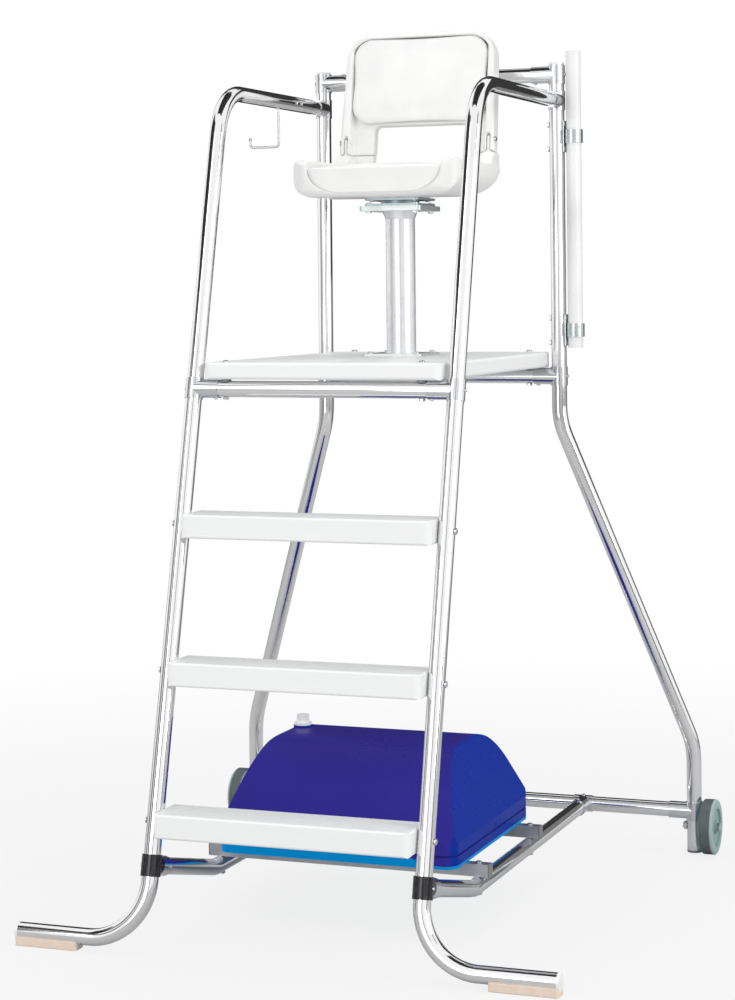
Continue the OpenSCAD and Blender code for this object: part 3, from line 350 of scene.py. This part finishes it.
@dataclass(frozen=True)
class TyreSkin(Finish):
    """Tyre with a dark tread whose walls and outer shoulder are moulded in the hub's colour.

    The shoulder starts at a distance in metres from the chair's middle.
    """

    tread: Colour = tint(84, 92, 94)
    wall: Colour = tint(150, 176, 176)
    scuff: Colour = tint(176, 196, 192)
    shoulder: float = 0.668
    blur: float = 0.001

    def dress(self, paint: Paint) -> None:
        """Lays the finish on a fresh material."""
        wall = abs(paint.facing(0)).ease(0.72, 0.94)
        side = wall.most(abs(paint.place().part(0)).ease(self.shoulder, self.shoulder + self.blur))
        wear = paint.noise(55, 5).ease(0.45, 0.75)
        pebbles = paint.cells(500)
        tread = paint.mix(wear * 0.4, self.tread, tuple(part * 1.5 for part in self.tread))
        paint.finish(
            Base_Color=paint.mix(side, tread, paint.mix(wear * 0.5, self.wall, self.scuff)),
            Roughness=wear * 0.12 + 0.55,
        )
        paint.bump(pebbles * (1 - side * 0.7) + wear * 0.3, 0.3, 0.0006)


@dataclass(frozen=True)
class GripBoard(Finish):
    """White board whose top carries a fine raised grip and whose edges show faint moulded ribs."""

    colour: Colour = (0.88, 0.885, 0.885)
    grime: Colour = (0.66, 0.67, 0.68)
    pitch: float = 0.011
    rib: float = 0.009

    def dress(self, paint: Paint) -> None:
        """Lays the finish on a fresh material."""
        where = paint.place()
        x, y, z = where.part(0), where.part(1), where.part(2)
        turn = math.pi / self.pitch
        studs = (((x + y) * turn).sin() * ((x - y) * turn).sin()).ease(0.05, 0.55)
        ribs = ((z * (math.tau / self.rib)).sin()).ease(0.1, 0.9)
        top = paint.facing(2).ease(0.93, 0.99)
        side = 1 - abs(paint.facing(2)).ease(0.05, 0.3)
        height = studs * top + ribs * side * 0.07
        dirt = paint.noise(16, 5).ease(0.5, 0.75) * (1 - studs) * top
        shadow = tuple(part * 0.9 for part in self.colour)
        body = paint.mix((1 - studs) * top * 0.5, self.colour, shadow)
        paint.finish(
            Base_Color=paint.mix(dirt * 0.35, body, self.grime),
            Roughness=paint.noise(40, 3) * 0.12 + 0.42,
        )
        paint.bump(height + paint.noise(700, 2) * 0.08, 0.55, 0.0012)


@dataclass(frozen=True)
class PadVinyl(Finish):
    """Soft white vinyl over foam: fine grain, gentle dimples, a low sheen and painted shade in its folds."""

    colour: Colour = (0.90, 0.90, 0.89)
    crease_painted_shade: Colour = (0.78, 0.78, 0.78)

    def dress(self, paint: Paint) -> None:
        """Lays the finish on a fresh material."""
        grain = paint.cells(620)
        fold = paint.noise(13, 3).ease(0.3, 0.75)
        # painted shade: the folds are darkened in colour
        paint.finish(
            Base_Color=paint.mix(fold * 0.35 + grain * 0.2, self.colour, self.crease_painted_shade),
            Roughness=fold * 0.1 + 0.36,
            Sheen_Weight=0.08,
            Sheen_Roughness=0.4,
            Subsurface_Weight=0.05,
            Subsurface_Scale=0.004,
        )
        paint.bump(grain * 0.35 + fold * 0.9, 0.22, 0.0010)


@dataclass(frozen=True)
class TankShell(Finish):
    """Blow-moulded blue tank whose colour is painted light and shade by the way each face turns: the indigo
    front and the dimmed crown are painted shade, the brighter flanks painted light, and the cyan line along
    its foot is a painted reflection of the floor.

    The line ends at a height and fades over part of it; at the front it rises, left of the ends of
    its ramp across the chair.
    """

    # painted light and shade: the front, flank and crown colours stand for how the light falls on each side
    front: Colour = tint(55, 49, 152)
    flank_painted_light: Colour = tint(18, 48, 152)
    # painted reflection of the floor: the colour, height and rise of the cyan line along the foot
    foot: Colour = tint(0, 142, 214)
    foot_reflection_z: float = 0.1561
    foot_reflection_h: float = 0.0075
    foot_reflection_rise: float = 0.016
    ramp: tuple[float, float] = (0.17, 0.24)

    def dress(self, paint: Paint) -> None:
        """Lays the finish on a fresh material."""
        # painted light and shade: the colour follows the way each face turns
        ahead = (-paint.facing(1)).ease(0.25, 0.85)
        side = abs(paint.facing(0)).ease(0.3, 0.85)
        crown = paint.facing(2).ease(0.2, 0.95)
        cloud = paint.noise(5, 4).ease(0.3, 0.7)
        deep = tuple(part * 0.86 for part in self.front)
        # painted shade on the crown
        crown_painted_shade = tuple(part * 0.8 for part in self.front)
        front = paint.mix(crown, paint.mix(cloud, self.front, deep), crown_painted_shade)
        body = paint.mix(side, front, self.flank_painted_light)
        # painted reflection of the floor: a cyan line along the foot, higher at the front left of the ramp
        rise = (1 - paint.place().part(0).ease(*self.ramp)) * ahead * self.foot_reflection_rise
        height = paint.place().part(2) - rise
        low = 1 - height.ease(self.foot_reflection_z + self.foot_reflection_h * 0.8, self.foot_reflection_z + self.foot_reflection_h)
        paint.finish(
            Base_Color=paint.mix(low, body, self.foot),
            Roughness=cloud * 0.06 + paint.noise(90, 3) * 0.08 + 0.22,
            Specular_IOR_Level=0.03,
        )
        paint.bump(paint.noise(380, 3) * 0.25 + paint.noise(14, 3), 0.16, 0.0012)


@dataclass(frozen=True)
class SatinPlate(Finish):
    """Coated or sawn plate and bar with a fine directional grain and brighter edges."""

    colour: Colour = (0.4, 0.4, 0.42)
    edge: Colour = (0.6, 0.6, 0.62)
    metallic: float = 0.6
    roughness: float = 0.35
    grain: tuple[float, float, float] = (0.05, 1, 1)

    def dress(self, paint: Paint) -> None:
        """Lays the finish on a fresh material."""
        lines = paint.noise(700, 3, self.grain)
        stain = paint.noise(22, 4).ease(0.4, 0.75)
        rub = (paint.rounded_edge(0.0015) * 4).clamp()
        dark = tuple(part * 0.78 for part in self.colour)
        paint.finish(
            Base_Color=paint.mix(rub, paint.mix(stain * 0.5 + lines * 0.3, self.colour, dark), self.edge),
            Metallic=self.metallic,
            Roughness=lines * 0.15 + stain * 0.1 + self.roughness,
        )
        paint.bump(lines, 0.12, 0.0003)


@dataclass(frozen=True)
class Rubber(Finish):
    """Matte rubber with a pebbled skin and paler scuffs."""

    colour: Colour = (0.1, 0.1, 0.1)
    scuff: Colour = (0.2, 0.2, 0.2)
    pebble: float = 600.0

    def dress(self, paint: Paint) -> None:
        """Lays the finish on a fresh material."""
        wear = paint.noise(45, 5).ease(0.45, 0.75)
        pebbles = paint.cells(self.pebble)
        paint.finish(
            Base_Color=paint.mix(wear * 0.6 + pebbles * 0.2, self.colour, self.scuff),
            Roughness=wear * 0.15 + 0.62,
        )
        paint.bump(pebbles + wear * 0.4, 0.3, 0.0006)


class Finishes:
    """Every finish on the chair."""

    tube = PolishedSteel("polished_tube")
    level_tube = PolishedSteel("polished_level_tube", draw=(0.04, 1, 1))
    fitting = PolishedSteel("polished_fitting", colour=(0.74, 0.75, 0.77), roughness=0.12, draw=(1, 1, 1))
    bolts = PolishedSteel("bright_steel", colour=(0.68, 0.69, 0.71), roughness=0.16, draw=(1, 1, 1))
    collar = CollarPaint("black_collar")
    white = Moulded("white_plastic", colour=(0.89, 0.89, 0.89), worn=(0.93, 0.93, 0.93), roughness=0.32)
    grey = Moulded("grey_plastic", colour=(0.20, 0.21, 0.22), worn=(0.34, 0.35, 0.36), roughness=0.5)
    shell = Moulded("seat_plastic", colour=(0.89, 0.89, 0.88), worn=(0.93, 0.93, 0.92), ripple=0.5)
    deck = GripBoard("deck_plastic")
    step = GripBoard("step_plastic")
    pad = PadVinyl("seat_pad")
    foot = Rubber("beige_rubber", colour=tint(228, 208, 192), scuff=tint(240, 224, 210), pebble=500)
    tread = TyreSkin("wheel_tread")
    hub = Moulded("wheel_hub", colour=tint(140, 168, 170), worn=tint(172, 194, 194), roughness=0.42)
    column = SatinPlate(
        "column_paint",
        colour=(0.88, 0.88, 0.90),
        edge=(0.9, 0.9, 0.92),
        metallic=0.5,
        roughness=0.12,
        grain=(1, 1, 0.03),
    )
    plate = SatinPlate("grey_plate", colour=tint(228, 236, 233), edge=tint(238, 242, 241), metallic=0.9)
    dark_plate = SatinPlate("dark_plate", colour=tint(206, 220, 224), edge=tint(220, 230, 232), metallic=0.9)
    bracket = SatinPlate(
        "bracket_metal", colour=tint(206, 216, 214), edge=tint(226, 231, 229), metallic=0.9, roughness=0.14
    )
    rail = SatinPlate("rail_aluminium", colour=(0.42, 0.44, 0.46), edge=(0.62, 0.63, 0.65), metallic=0.9)
    tank = TankShell("tank_plastic")


@dataclass
class Assembly(ABC):
    """A group of pieces that is dressed and built together."""

    finishes: dict[str, Finish] = field(default_factory=dict)

    def dress(self) -> None:
        """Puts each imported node's finish on it."""
        for node, finish in self.finishes.items():
            finish.put_on(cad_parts[node])
            LOG.info("%s: %s", node, finish.name)

    def build(self) -> None:
        """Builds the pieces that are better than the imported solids; most groups have none."""


def finished(finish: Finish, nodes: Iterable[str]) -> dict[str, Finish]:
    """The same finish for several nodes.

    Args:
        finish: the finish.
        nodes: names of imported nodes.

    Returns:
        The finish by node.
    """
    return {node: finish for node in nodes}


def on_both(stem: str) -> list[str]:
    """The left and right node of a pair."""
    return [f"{stem}_left", f"{stem}_right"]


class Tubework(Assembly):
    """Handrails, legs, bars, fittings and their screws, and the feet."""

    def __init__(self) -> None:
        """Lists what each tube and fitting is finished in."""
        upright = [*on_both("handrail"), *on_both("rear_leg")]
        crossing = ["back_rail", "front_bar", "rear_bar", "rear_cross_tube"]
        level = [*on_both("foot_tube"), *on_both("side_tube"), *crossing]
        tees = ["arm_tees", "back_rail_tees", "front_bar_tees", "rear_bar_tees", "leg_tees", "side_tees"]
        screws = ["fitting_screws", "arm_screws"]
        bolts = [*screws, "deck_bolts", "step_bolts", "rail_bolts", "bracket_bolts", "hook_rod"]
        super().__init__(
            {
                **finished(Finishes.tube, upright),
                **finished(Finishes.level_tube, level),
                **finished(Finishes.fitting, tees),
                **finished(Finishes.bolts, bolts),
                **finished(Finishes.white, ["foot_caps", "post_caps", "umbrella_tube"]),
                **finished(Finishes.grey, ["leg_tips", "deck_spacers"]),
                "foot_pads": Finishes.foot,
                "base_collars": Finishes.collar,
                "umbrella_brackets": Finishes.bracket,
            }
        )


class Decking(Assembly):
    """The deck and the ladder's steps."""

    def __init__(self) -> None:
        """Lists the boards' finishes."""
        super().__init__(
            {"deck": Finishes.deck, **finished(Finishes.step, ["step_upper", "step_middle", "step_lower"])}
        )


class Pedestal(Assembly):
    """The column, its plates, the swivel and their bolts."""

    def __init__(self) -> None:
        """Lists the pedestal's finishes."""
        super().__init__(
            {
                "column": Finishes.column,
                **finished(Finishes.plate, ["column_flange", "column_head"]),
                **finished(Finishes.dark_plate, ["swivel_base", "swivel_top"]),
                **finished(Finishes.bolts, ["flange_bolts", "swivel_bolts", "seat_bolts", "hinge_pins"]),
            }
        )


class Ballast(Assembly):
    """The tank, its cap and the rails that carry it."""

    def __init__(self) -> None:
        """Lists the tank's finishes."""
        super().__init__(
            {
                "ballast_tank": Finishes.tank,
                "fill_cap": Finishes.white,
                **finished(Finishes.rail, ["tank_rail_front", "tank_rail_rear"]),
                "rail_caps": Finishes.grey,
            }
        )


class Wheels(Assembly):
    """The two wheels and their axles."""

    def __init__(self) -> None:
        """Lists the wheels' finishes."""
        super().__init__(
            {
                **finished(Finishes.hub, ["wheel_left_hub", "wheel_right_hub"]),
                **finished(Finishes.tread, ["wheel_left_tyre", "wheel_right_tyre"]),
                "axles": Finishes.bolts,
            }
        )


def corner_ring(
    half_w: float, low: float, high: float, radius: float, depth: float, steps: int, pull: float
) -> Ring:
    """A closed ring round a rounded rectangle whose sides pull in between its corners.

    Args:
        half_w: half the width.
        low: the lower limit across.
        high: the upper limit across.
        radius: the corners' radius.
        depth: the ring's level.
        steps: points to a quarter turn.
        pull: how far the middle of each side is pulled in.

    Returns:
        The ring's points, as many on each side.
    """
    points: Ring = []
    mid, reach = (low + high) / 2, (high - low) / 2
    signs = [(1, 1), (-1, 1), (-1, -1), (1, -1)]
    centres = [(sx * (half_w - radius), mid + sy * (reach - radius)) for sx, sy in signs]

    def point(centre: tuple[float, float], angle: float) -> Vector:
        """A point of a corner's arc."""
        return Vector((centre[0] + radius * math.cos(angle), centre[1] + radius * math.sin(angle), depth))

    for corner, centre in enumerate(centres):
        for i in range(steps + 1):
            points.append(point(centre, math.radians(90 * corner + 90 * i / steps)))
        turn = math.radians(90 * (corner + 1))
        start, end = points[-1].copy(), point(centres[(corner + 1) % 4], turn)
        for i in range(1, steps):
            share = i / steps
            sag = pull * math.sin(math.pi * share) ** 1.5
            inward = Vector((-math.cos(turn), -math.sin(turn), 0)) * sag
            points.append(start.lerp(end, share) + inward)
    return points


def skin(name: str, rings: Sequence[Ring]) -> bpy.types.Object:
    """Joins rings of one length into a closed, smooth-shaded solid with a fan at each end.

    Args:
        name: the piece's name.
        rings: the rings in order.

    Returns:
        The new object.
    """
    build = bmesh.new()
    rows = [[build.verts.new(point) for point in ring] for ring in rings]
    count = len(rings[0])
    for low, high in zip(rows, rows[1:]):
        for i in range(count):
            j = (i + 1) % count
            build.faces.new((low[i], low[j], high[j], high[i]))
    for row, ring, flip in ((rows[0], rings[0], True), (rows[-1], rings[-1], False)):
        middle = build.verts.new(sum(ring, Vector()) / count)
        for i in range(count):
            j = (i + 1) % count
            build.faces.new((row[j], row[i], middle) if flip else (row[i], row[j], middle))
    bmesh.ops.recalc_face_normals(build, faces=build.faces)
    mesh = bpy.data.meshes.new(name)
    build.to_mesh(mesh)
    build.free()
    mesh.polygons.foreach_set("use_smooth", [True] * len(mesh.polygons))
    made = bpy.data.objects.new(name, mesh)
    bpy.context.scene.collection.objects.link(made)
    return made


def subdivide(piece: bpy.types.Object, levels: int) -> None:
    """Adds a subdivision surface to a piece.

    Args:
        piece: the piece.
        levels: how many times it is divided.
    """
    modifier = piece.modifiers.new("smooth", "SUBSURF")
    modifier.levels = modifier.render_levels = levels


def softened(node: str, name: str, voxel: float, passes: int) -> bpy.types.Object:
    """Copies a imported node's form with its edges rolled over, as rotational moulding leaves them.

    Args:
        node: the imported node.
        name: the new piece's name.
        voxel: the size of its faces, in metres.
        passes: how often its edges are smoothed.

    Returns:
        The new piece.
    """
    piece = bpy.data.objects.new(name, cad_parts[node].data.copy())
    bpy.context.scene.collection.objects.link(piece)
    remesh = piece.modifiers.new("remesh", "REMESH")
    remesh.mode, remesh.voxel_size, remesh.use_smooth_shade = "VOXEL", voxel, True
    smooth = piece.modifiers.new("smooth", "SMOOTH")
    smooth.factor, smooth.iterations = 0.5, passes
    evaluated = piece.evaluated_get(bpy.context.evaluated_depsgraph_get())
    finished_mesh = bpy.data.meshes.new_from_object(evaluated)
    piece.modifiers.clear()
    piece.data = finished_mesh
    piece.data.name = name
    return piece


@dataclass
class BackPad:
    """The crowned pad in the recess of the back.

    Its profile lists in millimetres how far each ring lies inside the pad's outline and above the
    recess's floor, from the rear to the start of the crown.
    """

    back_y: float = 0.651156 - 0.392747
    seam_z: float = 1.808
    recline: float = 9.0
    width: float = 0.349
    low: float = 0.089
    high: float = 0.300
    recess: float = 0.0336
    corner_r: float = 0.046
    crown: float = 0.0065
    pull: float = 0.0035
    steps: int = 8
    profile: tuple[tuple[float, float], ...] = (
        (6, 0), (1.5, 1.2), (0.3, 5), (-2, 11), (-4.2, 18),
        (-5.0, 24), (-3.2, 28.2), (2, 30.8), (11, 32.0), (28, 32.6),
    )

    def rings(self) -> list[Ring]:
        """The pad's rings from its flat rear to its crowned face, in its own frame."""
        w, reach = self.width / 2, (self.high - self.low) / 2
        inset, face, corner, rings = 0.0, 0.0, 0.0, []
        for row in self.profile:
            inset, face = (figure / MM_PER_M for figure in row)
            corner = self.corner_r - inset / 4
            low, high = inset - reach, reach - inset
            rings.append(corner_ring(w - inset, low, high, corner, face, self.steps, self.pull))
        for share in CROWN_SHARES:
            hx, hy = (w - inset) * share, (reach - inset) * share
            depth = face + self.crown * (1 - share * share)
            rings.append(corner_ring(hx, -hy, hy, corner * share, depth, self.steps, 0))
        return rings

    def build(self) -> bpy.types.Object:
        """Makes the pad and puts it in its recess.

        Returns:
            The pad.
        """
        pad = skin("back_pad", self.rings())
        middle = (self.low + self.high) / 2
        stand = Matrix.Translation((0, self.recess, middle)) @ Matrix.Rotation(math.radians(90), 4, "X")
        lean = Matrix.Rotation(math.radians(-self.recline), 4, "X")
        pad.data.transform(Matrix.Translation((0, self.back_y, self.seam_z)) @ lean @ stand)
        subdivide(pad, 2)
        return pad


@dataclass
class SeatPad:
    """The seat pad that fills the dish of the shell, with an upright rounded front.

    Its rim lists in millimetres how far each ring lies inside the outline and above the start of
    the rim.
    """

    front_y: float = 0.337 - 0.392747
    scoop_y: float = 0.514 - 0.392747
    seat_z: float = 1.691
    shell: float = 0.012
    scoop_r: float = 0.228
    well_y: float = 0.678156 - 0.392747
    width: float = 0.344
    flat: float = 0.098
    rise: float = 0.058
    gap: float = 0.0004
    press: float = 0.0025
    bulge: float = 0.002
    dish_corner: float = 0.016
    dish_angles: tuple[float, ...] = (0, 10, 20, 30, 42, 54, 66, 78, 90)
    rim: tuple[tuple[float, float], ...] = ((0.8, 1.6), (2.4, 3.6), (5, 5.4), (9, 7.2), (16, 8.8), (30, 10.4))
    rim_drop: float = 0.004
    rim_corner: float = 0.026
    tuck: float = 0.9
    crown: float = 0.010
    steps: int = 8

    def side(self, angle: float) -> tuple[float, float]:
        """Half width and height of the dish at an angle of its side curve."""
        turn = math.radians(angle)
        x = self.flat + (self.width / 2 - self.flat) * math.sin(turn)
        return x, self.seat_z + self.shell + self.rise * (1 - math.cos(turn))

    def rear(self, z: float) -> float:
        """Rear limit of the pad at a height."""
        reach = (self.scoop_r - self.shell) ** 2 - (self.scoop_r + self.seat_z - z) ** 2
        return min(self.well_y, self.scoop_y + math.sqrt(max(0.0, reach))) - self.gap

    def rings(self) -> list[Ring]:
        """The pad's rings from the floor of the dish to its crown."""
        w, top = self.width / 2 + self.press, self.side(90)[1]
        rear, rings = self.rear(top), []
        for angle in self.dish_angles:
            (x, z), lift = self.side(angle), math.cos(math.radians(angle))
            near, far = self.front_y + self.bulge * lift, self.rear(z + self.gap)
            low = z + self.gap - self.press * lift
            rings.append(corner_ring(x + self.press, near, far, self.dish_corner, low, self.steps, 0))
        inset, near, far, corner, level = 0.0, 0.0, 0.0, 0.0, 0.0
        for row in self.rim:
            inset, up = (figure / MM_PER_M for figure in row)
            near, far = self.front_y + inset * self.tuck, rear - inset
            corner, level = self.rim_corner + inset / 3, top - self.rim_drop + up
            rings.append(corner_ring(w - inset, near, far, corner, level, self.steps, 0))
        mid, reach = (near + far) / 2, (far - near) / 2
        for share in CROWN_SHARES:
            depth = level + self.crown * (1 - share * share)
            hx, hy = (w - inset) * share, reach * share
            rings.append(corner_ring(hx, mid - hy, mid + hy, corner * share, depth, self.steps, 0))
        return rings

    def build(self) -> bpy.types.Object:
        """Makes the pad in its dish.

        Returns:
            The pad.
        """
        pad = skin("seat_pad", self.rings())
        subdivide(pad, 2)
        return pad


class Seat(Assembly):
    """The moulded seat, its folding back and their pads."""

    voxel: ClassVar[float] = 0.003
    passes: ClassVar[int] = 8

    def build(self) -> None:
        """Builds the soft-edged shells and the pads."""
        for node, name, body in (
            ("seat_pan", "seat_shell", Body.SEAT),
            ("seat_back", "back_shell", Body.BACK),
        ):
            shell = softened(node, name, self.voxel, self.passes)
            Finishes.shell.put_on(shell)
            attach(shell, body.value)
            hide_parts(node)
            LOG.info("%s stands for %s", name, node)
        for pad, node, body in (
            (SeatPad().build(), "seat_cushion", Body.SEAT),
            (BackPad().build(), "back_cushion", Body.BACK),
        ):
            Finishes.pad.put_on(pad)
            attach(pad, body.value)
            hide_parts(node)
            LOG.info("%s stands for %s", pad.name, node)


@dataclass(frozen=True)
class Flag:
    """A card out of view that polished tube reflects as an upright streak.

    Its turn is in degrees to the right of the camera, seen from the chair, and its spread is the
    angle that it fills. Its reach, low and high are metres from the chair and above the floor. A
    level one hangs over the chair instead, its sides at its reach.
    """

    name: str
    turn: float
    spread: float
    low: float
    high: float
    shade: float
    reach: float = 3.4
    level: bool = False


@dataclass(frozen=True)
class Lamp:
    """A soft square lamp: its place and aim in metres, the length of its side and its watts.

    Polished surfaces show it only where it is mirrored.
    """

    name: str
    place: tuple[float, float, float]
    aim: tuple[float, float, float]
    size: float
    power: float
    mirrored: bool = True


@dataclass
class Studio:
    """A pale floor and backdrop, soft lamps and the camera.

    The camera's place, turn, roll and lens are those that the photograph was fitted with: its focal
    length, long side and optical centre's row are in pixels.
    """

    eye: Vector = field(default_factory=lambda: Vector((2.0112, -5.0703 - 0.392747, 1.4742)))
    azimuth: float = 0.3585
    roll: float = -0.0097
    focal_px: float = 2395.8
    long_side: int = 1000
    centre_row: float = 286.0
    sensor: float = 36.0
    ambient: float = 0.86
    floor_shade: float = 0.5
    floor_r: float = 40
    shadow_share: float = 0.18
    shadow_fade: tuple[float, float] = (1.2, 4.0)
    lamps: tuple[Lamp, ...] = (
        Lamp("key", (-2.6, -4.6, 3.2), (0, 0, 1.1), 2.4, 46),
        Lamp("low_front", (-0.6, -5.4, 0.9), (0, 0, 1.1), 2.0, 26),
        Lamp("fill", (4.6, -1.4, 2.2), (0, 0, 1.0), 2.4, 70),
        Lamp("top", (0.3, 0.6, 5.2), (0, 0, 0.8), 2.6, 40, False),
    )
    flags: tuple[Flag, ...] = (
        Flag("flag_left_high", -86, 52, 2.4, 4.6, 0.02),
        Flag("flag_left_low", -80, 22, 0.0, 2.4, 0.30),
        Flag("flag_left_near", -57, 9, 0.0, 4.6, 0.22),
        Flag("flag_middle", -3, 7, 0.0, 4.6, 0.26, 7.5),
        Flag("flag_right_near", 53, 12, 0.0, 4.0, 0.20),
        Flag("flag_right_high", 128, 46, 1.5, 4.2, 0.03),
        Flag("flag_right_low", 128, 40, 0.0, 1.5, 0.22),
        Flag("flag_rear", 178, 60, 0.0, 8.0, 0.03, 6.0),
        Flag("flag_above", 0, 90, 6.0, 6.0, 0.03, 2.3, True),
    )

    def camera(self) -> None:
        """Sets the camera where the photograph was taken from."""
        across = Vector((math.cos(self.azimuth), math.sin(self.azimuth), 0))
        back = Vector((math.sin(self.azimuth), -math.cos(self.azimuth), 0))
        up = Vector((0, 0, 1))
        right = across * math.cos(self.roll) + up * math.sin(self.roll)
        over = up * math.cos(self.roll) - across * math.sin(self.roll)
        turn = Matrix((right, over, back)).transposed().to_4x4()
        data = bpy.data.cameras.new("camera")
        data.sensor_width = self.sensor
        data.lens = self.sensor * self.focal_px / self.long_side
        data.shift_y = (self.centre_row - self.long_side / 2) / self.long_side
        data.clip_end = 100
        made = bpy.data.objects.new("camera", data)
        made.matrix_world = Matrix.Translation(self.eye) @ turn
        bpy.context.scene.collection.objects.link(made)
        bpy.context.scene.camera = made

    def world(self) -> None:
        """A plain pale surround: white where the camera and reflections see it, dimmer as a lamp."""
        world = bpy.data.worlds.new("surround")
        bpy.context.scene.world = world
        world.use_nodes = True
        tree = world.node_tree
        tree.nodes.clear()
        path = tree.nodes.new("ShaderNodeLightPath")
        lamp = tree.nodes.new("ShaderNodeBackground")
        lamp.inputs["Color"].default_value = (1, 1, 1, 1)
        lamp.inputs["Strength"].default_value = self.ambient
        seen = tree.nodes.new("ShaderNodeBackground")
        seen.inputs["Color"].default_value = (1, 1, 1, 1)
        seen.inputs["Strength"].default_value = 1.0
        mix = tree.nodes.new("ShaderNodeMixShader")
        out = tree.nodes.new("ShaderNodeOutputWorld")
        both = tree.nodes.new("ShaderNodeMath")
        both.operation = "MAXIMUM"
        tree.links.new(path.outputs["Is Camera Ray"], both.inputs[0])
        tree.links.new(path.outputs["Is Glossy Ray"], both.inputs[1])
        tree.links.new(both.outputs[0], mix.inputs[0])
        tree.links.new(lamp.outputs[0], mix.inputs[1])
        tree.links.new(seen.outputs[0], mix.inputs[2])
        tree.links.new(mix.outputs[0], out.inputs["Surface"])

    def hang(self, lamp: Lamp) -> None:
        """Adds a soft square lamp.

        Args:
            lamp: the lamp and its place.
        """
        data = bpy.data.lights.new(lamp.name, "AREA")
        data.size, data.energy = lamp.size, lamp.power
        made = bpy.data.objects.new(lamp.name, data)
        made.visible_glossy = lamp.mirrored
        made.location = lamp.place
        way = Vector(lamp.aim) - Vector(lamp.place)
        made.rotation_euler = way.to_track_quat("-Z", "Y").to_euler()
        bpy.context.scene.collection.objects.link(made)

    def stand(self, flag: Flag) -> None:
        """Stands a flag where only polished surfaces see it.

        Args:
            flag: the card and its place.
        """
        angle = self.azimuth - math.pi / 2 + math.radians(flag.turn)
        width = 2 * flag.reach * math.tan(math.radians(flag.spread / 2))
        build = bmesh.new()
        bmesh.ops.create_grid(build, x_segments=1, y_segments=1, size=0.5)
        mesh = bpy.data.meshes.new(flag.name)
        build.to_mesh(mesh)
        build.free()
        made = bpy.data.objects.new(flag.name, mesh)
        if flag.level:
            made.scale = (width, width, 1)
            made.location = (0, 0, flag.high)
        else:
            made.scale = (width, flag.high - flag.low, 1)
            x, y = flag.reach * math.cos(angle), flag.reach * math.sin(angle)
            made.location = (x, y, (flag.low + flag.high) / 2)
            made.rotation_euler = (math.pi / 2, 0, angle + math.pi / 2)
        paint = Paint(flag.name)
        paint.finish(Base_Color=(flag.shade,) * 3, Roughness=0.9)
        made.data.materials.append(paint.material)
        made.visible_camera = False
        made.visible_shadow = False
        made.visible_diffuse = False
        bpy.context.scene.collection.objects.link(made)

    def floor(self) -> None:
        """A wide pale floor that keeps the chair's shadow."""
        build = bmesh.new()
        bmesh.ops.create_circle(build, cap_ends=True, segments=96, radius=self.floor_r)
        mesh = bpy.data.meshes.new("floor")
        build.to_mesh(mesh)
        build.free()
        made = bpy.data.objects.new("floor", mesh)
        bpy.context.scene.collection.objects.link(made)
        paint = Paint("floor")
        paint.finish(Base_Color=(self.floor_shade,) * 3, Roughness=0.85, Specular_IOR_Level=0.1)
        near = 1 - paint.vector("LENGTH", paint.place(), (0, 0, 0)).ease(*self.shadow_fade)
        path = paint.node("ShaderNodeLightPath", {}, {}, out="Is Camera Ray")
        white = paint.node("ShaderNodeEmission", {}, {"Color": (1, 1, 1), "Strength": 1.0})
        share = (1 - near * self.shadow_share) * path
        shaded = Flow(paint, paint.shader.outputs[0])
        both = paint.node("ShaderNodeMixShader", {}, {0: share, 1: shaded, 2: white})
        paint.feed(paint.tree.nodes["Material Output"].inputs["Surface"], both)
        made.data.materials.append(paint.material)

    def build(self) -> None:
        """Sets up the whole studio."""
        bpy.context.scene.view_settings.view_transform = "Standard"
        self.camera()
        self.world()
        self.floor()
        for lamp in self.lamps:
            self.hang(lamp)
        for flag in self.flags:
            self.stand(flag)
        LOG.info("studio ready")


def main() -> None:
    """Builds and dresses the chair and its studio, in order."""
    logging.basicConfig(level=logging.INFO, format="%(name)s: %(message)s")
    Studio().build()
    for group in (Tubework(), Decking(), Pedestal(), Seat(), Ballast(), Wheels()):
        group.dress()
        group.build()
        LOG.info("%s done", type(group).__name__)


if __name__ == "__main__":
    main()
